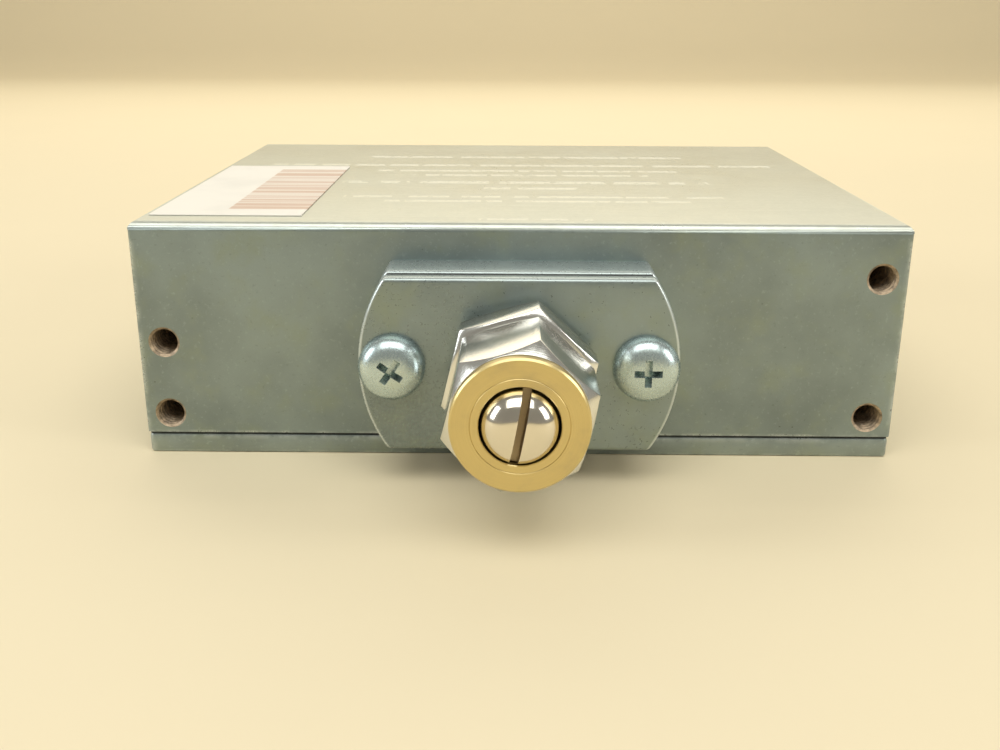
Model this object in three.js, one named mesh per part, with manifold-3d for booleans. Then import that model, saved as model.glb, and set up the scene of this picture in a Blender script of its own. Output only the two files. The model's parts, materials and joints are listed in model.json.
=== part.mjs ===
// A plunger-operated limit switch: a flat sealed metal box, a flanged hexagonal head that guides a
// slotted, domed plunger tip, and two stacked snap-action switches that a lever works inside.
//
// Millimetres, +Z up. The origin is the centre of the base plate's underside. The plunger points
// along -Y, X runs across the box, and the cable entry faces +Y.

import Module from "manifold-3d";
import * as THREE from "three";
import { mergeVertices } from "three/addons/utils/BufferGeometryUtils.js";

const wasm = await Module();
wasm.setup();

// ---- Driving dimensions -------------------------------------------------------------------------

const box = { width: 95, depth: 78, height: 30, edge: 1.3, corner: 0.4 };
const wall = { side: 3.5, end: 4, roof: 3 };
const base = { thickness: 2.5, inset: 0.1, corner: 0.6, gasket: 0.3 };
const axisZ = box.height / 2; // height of the plunger and of the cable entry
const flange = { radius: 18.8, halfHeight: 10.5, block: 5.9, gasket: 1.4, plate: 2.1, screwX: 14.8 };
const nose = { washer: 2.5, nut: 4.7, nutFlats: 15.8, head: 10.6, headFlats: 14.8, rim: 1.2 };
const rimRadius = 7.2;
const hexTurn = 13.5; // degrees that a corner of the hexagons leans from upright towards +X
const tailRadius = 5; // threaded tail of the plunger head
const tip = { radius: 4.1, dome: 3.6, skirt: 4.5, proud: 2.2, slot: 0.9, slotDepth: 3.1, tilt: 10 };
const domeFullness = 2.5; // 2 gives an elliptical dome; more fills out its shoulder
const travel = 2.2; // how far the plunger goes in
const rod = { radius: 2, seat: 3.4, neck: 2.4 };
const leverArm = 18.5; // pivot to plunger axis
const snap = { length: 27.8, height: 15.9, thickness: 10.3, wall: 1.5, cover: 1 };
const running = 0.1; // radial clearance of what slides or turns
const apart = 0.3; // gap between pieces that meet only when the switch works
const touch = 0.02; // gap between pieces that are screwed or pressed together
const bite = 0.5; // overlap of joined solids, so that their faces never coincide

// Holes tapped in the front face, as [x, z].
const tappedHoles = [
  [-44.3, 14.8],
  [-44.3, 5.4],
  [44.3, 23.4],
  [44.3, 5.4],
];
const tapped = { radius: 1.65, depth: 9 };
const baseScrew = { x: 42.5, frontY: -26, rearY: 29, shank: 1.4, length: 9 };

// ---- Stations along the plunger axis ------------------------------------------------------------

const frontFace = -box.depth / 2;
const frontInside = frontFace + wall.end;
const blockFront = frontFace - flange.block;
const gasketFront = blockFront - flange.gasket;
const plateFront = gasketFront - flange.plate;
const washerFront = plateFront - nose.washer;
const nutFront = washerFront - nose.nut;
const headBack = nutFront - apart;
const headFront = headBack - nose.head;
const rimFront = headFront - nose.rim;
const tailEnd = frontInside + 4;
const tipApex = rimFront - tip.proud;
const domeBase = tipApex + tip.dome;
const skirtBack = domeBase + tip.skirt;
const chamberFloor = headBack + 8.9; // where the return spring bears on the head
const leverFront = -22;
const rodEnd = leverFront - apart;

// ---- Solids -------------------------------------------------------------------------------------

/** Six times the signed volume that a triangle list encloses. */
function signedVolume(position, triangles) {
  const [a, b, c] = [new THREE.Vector3(), new THREE.Vector3(), new THREE.Vector3()];
  return triangles.reduce((sum, [i, j, k]) => {
    a.fromBufferAttribute(position, i);
    b.fromBufferAttribute(position, j);
    c.fromBufferAttribute(position, k);
    return sum + a.dot(b.cross(c));
  }, 0);
}

/** A closed three.js geometry as a solid that can be joined and cut. */
function solid(geometry) {
  geometry.deleteAttribute("normal");
  geometry.deleteAttribute("uv");
  const welded = mergeVertices(geometry, 1e-4);
  const triangles = [];
  for (let i = 0; i < welded.index.count; i += 3) {
    const [a, b, c] = [0, 1, 2].map((k) => welded.index.getX(i + k));
    if (a !== b && b !== c && c !== a) triangles.push([a, b, c]);
  }
  if (signedVolume(welded.attributes.position, triangles) < 0) triangles.forEach((t) => t.reverse());
  const vertProperties = new Float32Array(welded.attributes.position.array);
  const triVerts = new Uint32Array(triangles.flat());
  return new wasm.Manifold(new wasm.Mesh({ numProp: 3, vertProperties, triVerts }));
}

const cut = (body, ...tools) => tools.reduce((rest, tool) => rest.subtract(tool), body);
const join = (body, ...others) => others.reduce((sum, other) => sum.add(other), body);

/** A block between two limits along each axis. */
function block([x0, x1], [y0, y1], [z0, z1]) {
  const geometry = new THREE.BoxGeometry(x1 - x0, y1 - y0, z1 - z0);
  return solid(geometry.translate((x0 + x1) / 2, (y0 + y1) / 2, (z0 + z1) / 2));
}

/** A solid of revolution about the Y direction through (x, z), from [radius, y] points. */
function turned(profile, { x = 0, z = axisZ, sides = 24 } = {}) {
  const points = profile.map(([r, y]) => new THREE.Vector2(r, y));
  return solid(new THREE.LatheGeometry(points, sides).translate(x, 0, z));
}

/** A solid of revolution about the Z direction through (x, y), from [radius, z] points. */
function upright(profile, { x = 0, y = 0, sides = 12 } = {}) {
  const points = profile.map(([r, z]) => new THREE.Vector2(r, z));
  return solid(new THREE.LatheGeometry(points, sides).rotateX(Math.PI / 2).translate(x, y, 0));
}

const disc = (radius, from, to) => [[0, from], [radius, from], [radius, to], [0, to]];
const ring = (bore, radius, from, to) => [
  [bore, from],
  [radius, from],
  [radius, to],
  [bore, to],
  [bore, from],
];

/** An outline in plan, [x, y], raised from z0 to z1. */
function raised(outline, z0, z1) {
  const geometry = new THREE.ExtrudeGeometry(outline, {
    depth: z1 - z0,
    bevelEnabled: false,
    curveSegments: 3,
  });
  return solid(geometry.translate(0, 0, z0));
}

/** An outline seen from the front, [x, z], running from y0 back to y1. */
function pushed(outline, y0, y1, curveSegments = 10) {
  const settings = { depth: y1 - y0, bevelEnabled: false, curveSegments };
  return solid(new THREE.ExtrudeGeometry(outline, settings).rotateX(Math.PI / 2).translate(0, y1, 0));
}

const polygon = (points) => new THREE.Shape(points.map(([u, v]) => new THREE.Vector2(u, v)));

/** A rectangle centred on the origin with round corners. */
function roundedRectangle(width, height, radius) {
  const [u, v] = [width / 2, height / 2];
  const outline = new THREE.Shape();
  outline.moveTo(-u + radius, -v);
  outline.lineTo(u - radius, -v);
  outline.absarc(u - radius, -v + radius, radius, -Math.PI / 2, 0);
  outline.lineTo(u, v - radius);
  outline.absarc(u - radius, v - radius, radius, 0, Math.PI / 2);
  outline.lineTo(-u + radius, v);
  outline.absarc(-u + radius, v - radius, radius, Math.PI / 2, Math.PI);
  outline.lineTo(-u, -v + radius);
  outline.absarc(-u + radius, -v + radius, radius, Math.PI, 1.5 * Math.PI);
  return outline;
}

/** A hexagonal bar along Y, its corners turned off between y0 and y1 by the two chamfers. */
function hexagon(flats, y0, y1, { front = 0.6, back = 0.6, turn = hexTurn } = {}) {
  const corner = flats / Math.sqrt(3);
  const bar = polygon(
    Array.from({ length: 6 }, (_, i) => {
      const angle = THREE.MathUtils.degToRad(90 - turn + 60 * i);
      return [corner * Math.cos(angle), axisZ + corner * Math.sin(angle)];
    }),
  );
  const face = flats / 2 - 0.1;
  const chamfers = [[0, y0], [face, y0], [corner + 0.1, y0 + front]];
  chamfers.push([corner + 0.1, y1 - back], [face, y1], [0, y1]);
  return pushed(bar, y0 - 1, y1 + 1).intersect(turned(chamfers));
}

// ---- Fasteners ----------------------------------------------------------------------------------

/** A cross or single slot, cut down from z = top. */
function recess(kind, across, width, top, depth) {
  const bar = (u, v) => block([-u / 2, u / 2], [-v / 2, v / 2], [top - depth, top + 1]);
  return kind === "cross" ? bar(across, width).add(bar(width, across)) : bar(across, width);
}

/** A pan-head screw along Z, seated at z = 0 with its head above. */
function panScrew({ head, rise, shank, length, kind = "cross", sides = 12 }) {
  const profile = [
    [0, -length],
    [shank - 0.3, -length],
    [shank, -length + 0.4],
    [shank, 0],
    [head, 0],
    [head, rise * 0.35],
    [head * 0.8, rise * 0.85],
    [0, rise],
  ];
  const across = kind === "cross" ? head * 1.15 : head * 2.2;
  return upright(profile, { sides }).subtract(recess(kind, across, head * 0.27, rise, rise * 0.6));
}

/** A countersunk screw along Z, its flat head's top at z = 0. */
function flatScrew({ head, sink, shank, length }) {
  const profile = [
    [0, -length],
    [shank - 0.3, -length],
    [shank, -length + 0.4],
    [shank, -sink],
    [head, -0.25],
    [head, 0],
    [0, 0],
  ];
  return upright(profile, { sides: 16 }).subtract(recess("cross", head * 1.2, head * 0.28, 0, 1));
}

// ---- The box ------------------------------------------------------------------------------------

const baseScrewPlaces = [
  ["front_left", -baseScrew.x, baseScrew.frontY],
  ["front_right", baseScrew.x, baseScrew.frontY],
  ["rear_left", -baseScrew.x, baseScrew.rearY],
  ["rear_right", baseScrew.x, baseScrew.rearY],
];
const flatHead = { head: 2.8, sink: 1.65 };
const shellBottom = base.thickness + base.gasket;
const roofInside = box.height - wall.roof;
const padBottom = roofInside - 1.5; // underside of the pads that carry the switches and the block
const pilotTop = box.height - 1;

const holeA = { x: 9.1, y: -4.5 }; // the two mounting holes through both switches
const holeB = { x: -13.1, y: -14.8 };
const blockScrewX = 19;
const terminalY = 17.5;
const pivot = { x: -leverArm, y: leverFront + 0.6, radius: 1.45 };
const leverTop = 19.1;

/** The outside of the housing: soft top edges and slightly round upright corners. */
function shellSolid() {
  const { width, depth, height, edge, corner } = box;
  const outline = polygon([
    [-width / 2 + edge, -depth / 2 + edge],
    [width / 2 - edge, -depth / 2 + edge],
    [width / 2 - edge, depth / 2 - edge],
    [-width / 2 + edge, depth / 2 - edge],
  ]);
  const softened = new THREE.ExtrudeGeometry(outline, {
    depth: height,
    bevelThickness: edge,
    bevelSize: edge,
    bevelSegments: 3,
  }).translate(0, 0, -edge);
  const upper = raised(roundedRectangle(width, depth, corner), shellBottom, height + 1);
  return solid(softened).intersect(upper);
}

/** Columns in the four corners that the base screws and the front tapped holes go into. */
function cornerColumns() {
  const x0 = 37.5;
  const x1 = box.width / 2 - wall.side + bite;
  return [-1, 1].flatMap((side) => {
    const span = side < 0 ? [-x1, -x0] : [x0, x1];
    const height = [shellBottom, roofInside + bite];
    return [
      block(span, [frontInside - bite, -22], height),
      block(span, [24, -frontInside + bite], height),
    ];
  });
}

function housing() {
  const x = box.width / 2 - wall.side;
  const cavity = block([-x, x], [frontInside, -frontInside], [shellBottom - 1, roofInside]);
  const pads = [holeA, holeB, { x: -blockScrewX, y: terminalY }, { x: blockScrewX, y: terminalY }];
  const raisedPads = pads.map((p) => upright(disc(3.6, padBottom, roofInside + bite), p));
  const pivotBoss = upright(disc(3.4, leverTop + apart, roofInside + bite), pivot);
  const shell = join(cut(shellSolid(), cavity), ...cornerColumns(), ...raisedPads, pivotBoss);

  const padPilots = pads.map((p) => upright(disc(1.5, padBottom - 1, pilotTop), p));
  const pivotHole = upright(disc(pivot.radius + 0.05, leverTop, pilotTop), { ...pivot, sides: 20 });
  const frontHoles = tappedHoles.map(([hx, hz]) =>
    turned(disc(tapped.radius, frontFace - 1, frontFace + tapped.depth), { x: hx, z: hz, sides: 16 }),
  );
  const pilot = baseScrew.shank + 0.1;
  const basePilots = baseScrewPlaces.map(([, px, py]) =>
    upright(disc(pilot, shellBottom - 1, baseScrew.length + 1), { x: px, y: py }),
  );
  const headHole = turned(disc(tailRadius + 0.1, frontFace - 1, frontInside + 1));
  const flangePilots = [-1, 1].map((side) =>
    turned(disc(2.05, frontFace - 1, frontInside + 1), { x: side * flange.screwX, sides: 12 }),
  );
  const cableHole = turned(disc(gland.thread + 0.1, -frontInside - 1, -frontFace + 1));
  return cut(
    shell,
    ...padPilots,
    pivotHole,
    ...frontHoles,
    ...basePilots,
    headHole,
    ...flangePilots,
    cableHole,
  );
}

function basePlate() {
  const { thickness, inset, corner } = base;
  const outline = roundedRectangle(box.width - 2 * inset, box.depth - 2 * inset, corner);
  const sinks = baseScrewPlaces.map(([, x, y]) => {
    const hole = baseScrew.shank + 0.15;
    const head = flatHead.head + 0.1;
    return upright(
      [[0, -1], [head, -1], [head, 0.35], [hole, flatHead.sink + 0.15], [hole, 4], [0, 4]],
      { x, y, sides: 16 },
    );
  });
  return cut(raised(outline, 0, thickness), ...sinks);
}

function baseGasket() {
  const inset = base.inset + 0.2;
  const outline = roundedRectangle(box.width - 2 * inset, box.depth - 2 * inset, base.corner);
  const [bottom, top] = [base.thickness, shellBottom];
  const opening = block([-36.5, 36.5], [frontInside + 1, -frontInside - 1], [bottom - 1, top + 1]);
  const holes = baseScrewPlaces.map(([, x, y]) =>
    upright(disc(baseScrew.shank + 0.15, bottom - 1, top + 1), { x, y }),
  );
  return cut(raised(outline, bottom, top), opening, ...holes);
}

// ---- Flange and plunger head --------------------------------------------------------------------

/** One layer of the flange: a disc with its top and bottom cut flat, and its three holes. */
function flangeLayer(radius, halfHeight, y0, y1) {
  const edge = Math.asin(halfHeight / radius);
  const outline = new THREE.Shape();
  outline.absarc(0, axisZ, radius, -edge, edge);
  outline.absarc(0, axisZ, radius, Math.PI - edge, Math.PI + edge);
  const holes = [-1, 1].map((side) =>
    turned(disc(2.15, y0 - 1, y1 + 1), { x: side * flange.screwX, sides: 12 }),
  );
  return cut(pushed(outline, y0, y1), turned(disc(tailRadius + 0.1, y0 - 1, y1 + 1)), ...holes);
}

const nutRing = (flats, y0, y1, options) =>
  hexagon(flats, y0, y1, options).subtract(turned(disc(tailRadius + 0.06, y0 - 1, y1 + 1)));

const chamberRadius = 3.8;
const bush = { outer: 5.5, bore: tip.radius + running, length: 8.5 };

/** The hexagonal head with its threaded tail, bored for the bush, the spring and the rod. */
function plungerHead() {
  const hex = hexagon(nose.headFlats, headFront, headBack, { front: 1.5, back: 0.5 });
  const tail = turned(disc(tailRadius, headBack - bite, tailEnd));
  const bushSeat = headFront + bush.length + 0.1;
  const bore = turned([
    [0, headFront - 1],
    [bush.outer + 0.1, headFront - 1],
    [bush.outer + 0.1, bushSeat],
    [chamberRadius, bushSeat],
    [chamberRadius, chamberFloor],
    [rod.radius + running, chamberFloor],
    [rod.radius + running, tailEnd + 1],
    [0, tailEnd + 1],
  ]);
  return join(hex, tail).subtract(bore);
}

const wiperGroove = { front: rimFront + 2.6, back: rimFront + 3.8, radius: 4.9 };

/** The brass bush: a round face in front of the hexagon and a barrel that guides the tip. */
function guideBush() {
  const { front, back, radius } = wiperGroove;
  const barrelEnd = headFront + bush.length;
  return turned(
    [
      [bush.bore + 0.1, rimFront],
      [rimRadius - 0.25, rimFront],
      [rimRadius, rimFront + 0.25],
      [rimRadius, headFront - touch],
      [bush.outer, headFront - touch],
      [bush.outer, barrelEnd],
      [bush.bore, barrelEnd],
      [bush.bore, back],
      [radius, back],
      [radius, front],
      [bush.bore, front],
      [bush.bore, rimFront + 0.1],
      [bush.bore + 0.1, rimFront],
    ],
    { sides: 24 },
  );
}

function wiperRing() {
  const { front, back, radius } = wiperGroove;
  const middle = (front + back) / 2;
  const inner = bush.bore - 0.05;
  const outer = radius - 0.05;
  return turned(
    [[inner, middle - 0.2], [inner + 0.3, front + 0.1], [outer, front + 0.1], [outer, back - 0.1],
      [inner + 0.3, back - 0.1], [inner, middle + 0.2], [inner, middle - 0.2]],
    { sides: 24 },
  );
}

// ---- Plunger ------------------------------------------------------------------------------------

/** The polished tip: dome, skirt and stud, with a screwdriver slot right across it. */
function plungerTip() {
  const arc = Array.from({ length: 8 }, (_, i) => {
    const angle = (i / 7) ** 1.3 * (Math.PI / 2);
    const [across, along] = [Math.sin(angle), Math.cos(angle)].map((part) => part ** (2 / domeFullness));
    return [tip.radius * across, tipApex + tip.dome * (1 - (i === 7 ? 0 : along))];
  });
  const body = turned(
    [...arc, [tip.radius, skirtBack], [1.4, skirtBack], [1.4, skirtBack + 4.8], [0, skirtBack + 4.8]],
    { sides: 24 },
  );
  const reach = tip.radius + 1;
  const blade = polygon([
    [-tip.slot / 2, -reach],
    [tip.slot / 2, -reach],
    [tip.slot / 2, reach],
    [-tip.slot / 2, reach],
  ]);
  const settings = { depth: tip.slotDepth + 1, bevelEnabled: false };
  const slot = new THREE.ExtrudeGeometry(blade, settings)
    .rotateX(Math.PI / 2)
    .rotateY(THREE.MathUtils.degToRad(tip.tilt))
    .translate(0, tipApex + tip.slotDepth, axisZ);
  return body.subtract(solid(slot));
}

const clip = { front: tailEnd + 0.1, thickness: 0.8, groove: 1.5, radius: 4 };

function plungerRod() {
  const start = skirtBack + apart;
  const clipBack = clip.front + clip.thickness;
  const outside = turned([
    [0, start],
    [rod.seat, start],
    [rod.seat, start + 1],
    [rod.neck, start + 1],
    [rod.neck, start + 7.5],
    [rod.radius, start + 7.9],
    [rod.radius, clip.front - 0.05],
    [clip.groove, clip.front - 0.05],
    [clip.groove, clipBack + 0.05],
    [rod.radius, clipBack + 0.05],
    [rod.radius, rodEnd - 0.4],
    [rod.radius - 0.4, rodEnd],
    [0, rodEnd],
  ]);
  return outside.subtract(turned(disc(1.5, start - 1, start + 5), { sides: 24 }));
}

/** A snap ring in the rod's groove, open on its underside. */
function rodClip() {
  const { front, thickness, groove, radius } = clip;
  const whole = turned(ring(groove + 0.05, radius, front, front + thickness));
  const gap = block([-1.2, 1.2], [front - 1, front + 2], [axisZ - radius - 1, axisZ]);
  return whole.subtract(gap);
}

/** A helix along Y about the plunger axis. */
class Coil extends THREE.Curve {
  constructor(radius, turns, y0, y1) {
    super();
    Object.assign(this, { radius, turns, y0, y1 });
  }

  getPoint(t, target = new THREE.Vector3()) {
    const angle = 2 * Math.PI * this.turns * t;
    const y = this.y0 + (this.y1 - this.y0) * t;
    return target.set(this.radius * Math.cos(angle), y, axisZ + this.radius * Math.sin(angle));
  }
}

const roundSection = (radius, sides) =>
  polygon(
    Array.from({ length: sides }, (_, i) => {
      const angle = (2 * Math.PI * i) / sides;
      return [radius * Math.cos(angle), radius * Math.sin(angle)];
    }),
  );

/** A round wire along a curve. */
function wire(curve, radius, steps, sides = 8) {
  const settings = { steps, bevelEnabled: false, extrudePath: curve };
  return solid(new THREE.ExtrudeGeometry(roundSection(radius, sides), settings));
}

function returnSpring() {
  const wireRadius = 0.35;
  const from = skirtBack + apart + 1 + wireRadius + 0.1;
  const to = chamberFloor - wireRadius - 0.1;
  return wire(new Coil(3.1, 5, from, to), wireRadius, 60, 6);
}

// ---- Lever --------------------------------------------------------------------------------------

/** The bent-steel lever: a hub on the pivot pin and a plate in front of both switch buttons. */
function lever() {
  const thickness = 1.2;
  const [bottom, top, end] = [8, 21.9, 3.5];
  const { x } = pivot;
  const plate = polygon([[x + 1, bottom], [end, bottom], [end, top], [x + 4.4, top], [x + 4.4, 18.9],
    [x + 1, 18.9]]);
  const hub = upright(disc(3, bottom - 0.5, leverTop), { ...pivot, sides: 20 });
  const bore = upright(disc(pivot.radius + running, bottom - 2, leverTop + 1), { ...pivot, sides: 20 });
  return join(hub, pushed(plate, leverFront, leverFront + thickness)).subtract(bore);
}

const leverClip = () => upright(ring(pivot.radius + 0.05, 2.8, 6.4, 7.2), { ...pivot, sides: 20 });
const pivotPin = () => upright(disc(pivot.radius, 5.4, pilotTop - 0.2), { ...pivot, sides: 20 });

// ---- Snap-action switches -----------------------------------------------------------------------
// Each switch is drawn about its own mid-thickness, z = 0, and stacked by its group's height.

const caseX = [-15.9, -15.9 + snap.length];
const caseY = [-17.6, -17.6 + snap.height];
const halfThick = snap.thickness / 2;
const coverTop = -halfThick + snap.cover;
const buttonX = -leverArm / 2;
const blade = { pivotX: 4.4, front: -10.2, back: -9.8, contactX: -12.4 };
const tabEnd = 4.6;
const strip = { near: 2, far: 2.8 }; // height of the two flat terminals from mid-thickness
const buttonHalf = { x: 1.4, z: 1.7 };
const mountHoles = (z0, z1) => [holeA, holeB].map((h) => upright(disc(1.55, z0, z1), h));

function switchCase() {
  const [x0, x1] = caseX;
  const [y0, y1] = caseY;
  const t = snap.wall;
  const body = block(caseX, caseY, [coverTop, halfThick]);
  const cavity = block([x0 + t, x1 - t], [y0 + t, y1 - t], [coverTop - 1, halfThick - 1.15]);
  const posts = [holeA, holeB].map((h) => upright(disc(2.3, coverTop, halfThick - 1), h));
  const { x, z } = buttonHalf;
  const buttonSlot = block([buttonX - x - 0.1, buttonX + x + 0.1], [y0 - 1, y0 + t + 0.5],
    [-z - 0.1, z + 0.1]);
  const through = [y1 - t - 1, y1 + 1];
  const tabSlots = [
    block([-3.1, 1.1], through, [strip.near - 0.1, strip.far + 0.1]),
    block([-13.5, -9.3], through, [-strip.far - 0.1, -strip.near + 0.1]),
    block([4.8, 5.8], through, [-2.1, 2.1]),
  ];
  const shell = join(cut(body, cavity), ...posts);
  return cut(shell, buttonSlot, ...tabSlots, ...mountHoles(coverTop - 1, halfThick + 1));
}

const switchCover = () =>
  cut(block(caseX, caseY, [-halfThick, coverTop - touch]), ...mountHoles(-halfThick - 1, coverTop + 1));

/** The pin button, with a collar that keeps it in the case. */
function switchButton() {
  const { x, z } = buttonHalf;
  const across = [buttonX - x, buttonX + x];
  const stemFront = leverFront + 1.2 + apart;
  const stem = block(across, [stemFront, blade.front - apart], [-z, z]);
  const collarFront = caseY[0] + snap.wall + 0.2;
  return stem.add(block(across, [collarFront, collarFront + 1], [-z - 0.9, z + 0.9]));
}

const contact = (y0, y1) => turned(disc(1, y0, y1), { x: blade.contactX, z: 0, sides: 12 });

/** The moving blade with its contact. */
function switchBlade() {
  const bar = block([blade.contactX - 1.2, blade.pivotX], [blade.front, blade.back], [-1.5, 1.5]);
  return bar.add(contact(blade.front - 0.4, blade.back + 0.4));
}

const commonTerminal = () => block([4.9, 5.7], [-11, tabEnd], [-2, 2]);

/** The terminal in front of the moving contact, closed at rest. */
function closedTerminal() {
  const [left, right] = [blade.contactX - 1, blade.contactX + 1];
  const plan = polygon([[left, -12.3], [right, -12.3], [right, -7.6], [1, -7.6], [1, tabEnd],
    [-3, tabEnd], [-3, -5.6], [left, -5.6]]);
  const leg = block([left, right], [-12.3, -11.7], [-1, strip.far]);
  return join(raised(plan, strip.near, strip.far), leg, contact(-11.8, -10.9));
}

/** The terminal behind the moving contact, open at rest. */
function openTerminal() {
  const [left, right] = [blade.contactX - 1, blade.contactX + 1];
  const tab = block([left, left + 4], [-7, tabEnd], [-strip.far, -strip.near]);
  const leg = block([left, right], [-7, -6.4], [-strip.far, 1]);
  return join(tab, leg, contact(-7.7, -6.9));
}

const switchHeights = {
  upper: padBottom - halfThick,
  lower: padBottom - halfThick - snap.thickness - 0.5,
};

function insulator() {
  const top = padBottom - snap.thickness - touch;
  const bottom = top - 0.5 + 2 * touch;
  const sheet = block([caseX[0] - 0.6, caseX[1] + 0.6], [caseY[0] - 0.2, caseY[1] + 2], [bottom, top]);
  return cut(sheet, ...mountHoles(bottom - 1, top + 1));
}

// ---- Terminal block and leads -------------------------------------------------------------------

const terminals = { bottom: 15.5, top: padBottom, front: 12, back: 23, halfWidth: 22.5, leadZ: 22 };
const terminalXs = [-12, -4, 4, 12];

function terminalBlock() {
  const { bottom, top, front, back, halfWidth, leadZ } = terminals;
  const body = block([-halfWidth, halfWidth], [front, back], [bottom, top - touch]);
  const clampHoles = terminalXs.map((x) =>
    upright(
      [[0, bottom - 1], [2.3, bottom - 1], [2.3, bottom + 2.4], [1.3, bottom + 2.4], [1.3, 24], [0, 24]],
      { x, y: terminalY },
    ),
  );
  const entries = terminalXs.map((x) =>
    turned(disc(1.15, front - 1, front + 3), { x, z: leadZ, sides: 10 }),
  );
  const mounting = [-blockScrewX, blockScrewX].map((x) =>
    upright(disc(1.6, bottom - 1, top + 1), { x, y: terminalY }),
  );
  return cut(body, ...clampHoles, ...entries, ...mounting);
}

// Each lead runs from a switch tab, [x, z], by way of one point, to its place in the block.
const leadRoutes = {
  lead_lower_closed: { tab: [-1, switchHeights.lower + 2.4], via: [-2.5, 8.2, 17], end: -4 },
  lead_lower_common: { tab: [5.3, switchHeights.lower], via: [10.2, 8.2, 16], end: 12 },
  lead_upper_common: { tab: [5.3, switchHeights.upper], via: [4.6, 8, 21.4], end: 4 },
  lead_upper_open: { tab: [-11.4, switchHeights.upper - 2.4], via: [-11.8, 8, 20.4], end: -12 },
};

function lead({ tab: [x, z], via, end }) {
  const start = tabEnd + apart;
  const route = new THREE.CatmullRomCurve3([
    new THREE.Vector3(x, start, z),
    new THREE.Vector3(x, start + 1.2, z),
    new THREE.Vector3(...via),
    new THREE.Vector3(end, terminals.front - 1, terminals.leadZ),
    new THREE.Vector3(end, terminals.front + 2.4, terminals.leadZ),
  ]);
  return wire(route, 0.8, 10);
}

// ---- Cable gland --------------------------------------------------------------------------------

const gland = { thread: 7.8, bore: 4.2, hexFlats: 20, nutFlats: 19, mouth: 54 };
const rearFace = -frontFace;

function glandBody() {
  const hex = hexagon(gland.hexFlats, rearFace + touch, rearFace + 4, { front: 0.4, turn: 30 });
  const tail = turned(disc(gland.thread, rearFace - 9.5, rearFace + 0.5));
  const stub = turned(disc(7.5, rearFace + 3.5, rearFace + 10));
  return join(hex, tail, stub).subtract(turned(disc(gland.bore, rearFace - 11, rearFace + 11)));
}

function glandLocknut() {
  const inside = rearFace - wall.end - touch;
  const hex = hexagon(21, inside - 2.8, inside, { turn: 30 });
  return hex.subtract(turned(disc(gland.thread + 0.06, inside - 4, inside + 1)));
}

/** The cap: a hexagon at its root, then a turned dome with the cable mouth. */
function glandNut() {
  const root = rearFace + 4 + apart;
  const hex = hexagon(gland.nutFlats, root, root + 5, { turn: 30 });
  const dome = turned([[0, root + 4.5], [9.3, root + 4.5], [9.1, root + 7], [7.8, root + 9.6],
    [6.2, gland.mouth], [0, gland.mouth]]);
  const bore = turned([[0, root - 1], [7.6, root - 1], [7.6, root + 7.2], [gland.bore, root + 9.6],
    [gland.bore, gland.mouth + 1], [0, gland.mouth + 1]]);
  return join(hex, dome).subtract(bore);
}

const glandSeal = () =>
  turned([[3.95, rearFace + 10.1], [7, rearFace + 10.1], [7, rearFace + 11.2], [5.6, rearFace + 12.2],
    [3.95, rearFace + 12.2], [3.95, rearFace + 10.1]]);

// ---- Finishes and the assembly ------------------------------------------------------------------

const finish = (color, roughness, metalness) => ({ color, roughness, metalness });
const finishes = {
  platedSteel: finish(0x97a8a6, 0.4, 0.7),
  baseSteel: finish(0x84959a, 0.45, 0.7),
  blackRubber: finish(0x26292a, 0.85, 0),
  zincScrew: finish(0x93aaab, 0.35, 0.85),
  nickel: finish(0xcfd2cb, 0.25, 1),
  brass: finish(0xcaa452, 0.32, 1),
  polishedTip: finish(0xc9c5b4, 0.12, 1),
  springSteel: finish(0x9a9c9c, 0.35, 1),
  innerSteel: finish(0xa7abad, 0.42, 0.9),
  phenolic: finish(0x33271f, 0.55, 0),
  button: finish(0xb5322a, 0.45, 0),
  contactBrass: finish(0xc59a4d, 0.35, 1),
  fibre: finish(0x8d5a3c, 0.8, 0),
  blockPlastic: finish(0xd9d4c4, 0.5, 0),
  leadSleeve: finish(0x3b5f8f, 0.55, 0),
  paper: finish(0xe9e4d8, 0.8, 0),
};

const limitSwitch = new THREE.Group();

/** Adds one named mesh to a group and returns it. */
function add(name, shape, material, parent = limitSwitch) {
  const { vertProperties, triVerts } = shape.getMesh();
  const geometry = new THREE.BufferGeometry();
  geometry.setAttribute("position", new THREE.BufferAttribute(new Float32Array(vertProperties), 3));
  geometry.setIndex(new THREE.BufferAttribute(new Uint32Array(triVerts), 1));
  geometry.computeVertexNormals();
  const mesh = new THREE.Mesh(geometry, new THREE.MeshStandardMaterial(finishes[material]));
  mesh.name = name;
  parent.add(mesh);
  return mesh;
}

function addBox() {
  add("base_plate", basePlate(), "baseSteel");
  add("base_gasket", baseGasket(), "blackRubber");
  add("housing", housing(), "platedSteel");
  for (const [place, x, y] of baseScrewPlaces) {
    const shape = flatScrew({ ...flatHead, shank: baseScrew.shank, length: baseScrew.length });
    const screw = add(`base_screw_${place}`, shape, "zincScrew");
    screw.position.set(x, y, 0.1);
    screw.rotation.x = Math.PI;
  }
  const label = block([-46, -27], [-35, 8], [box.height + touch, box.height + 0.17]);
  add("stock_label", label, "paper");
}

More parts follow.
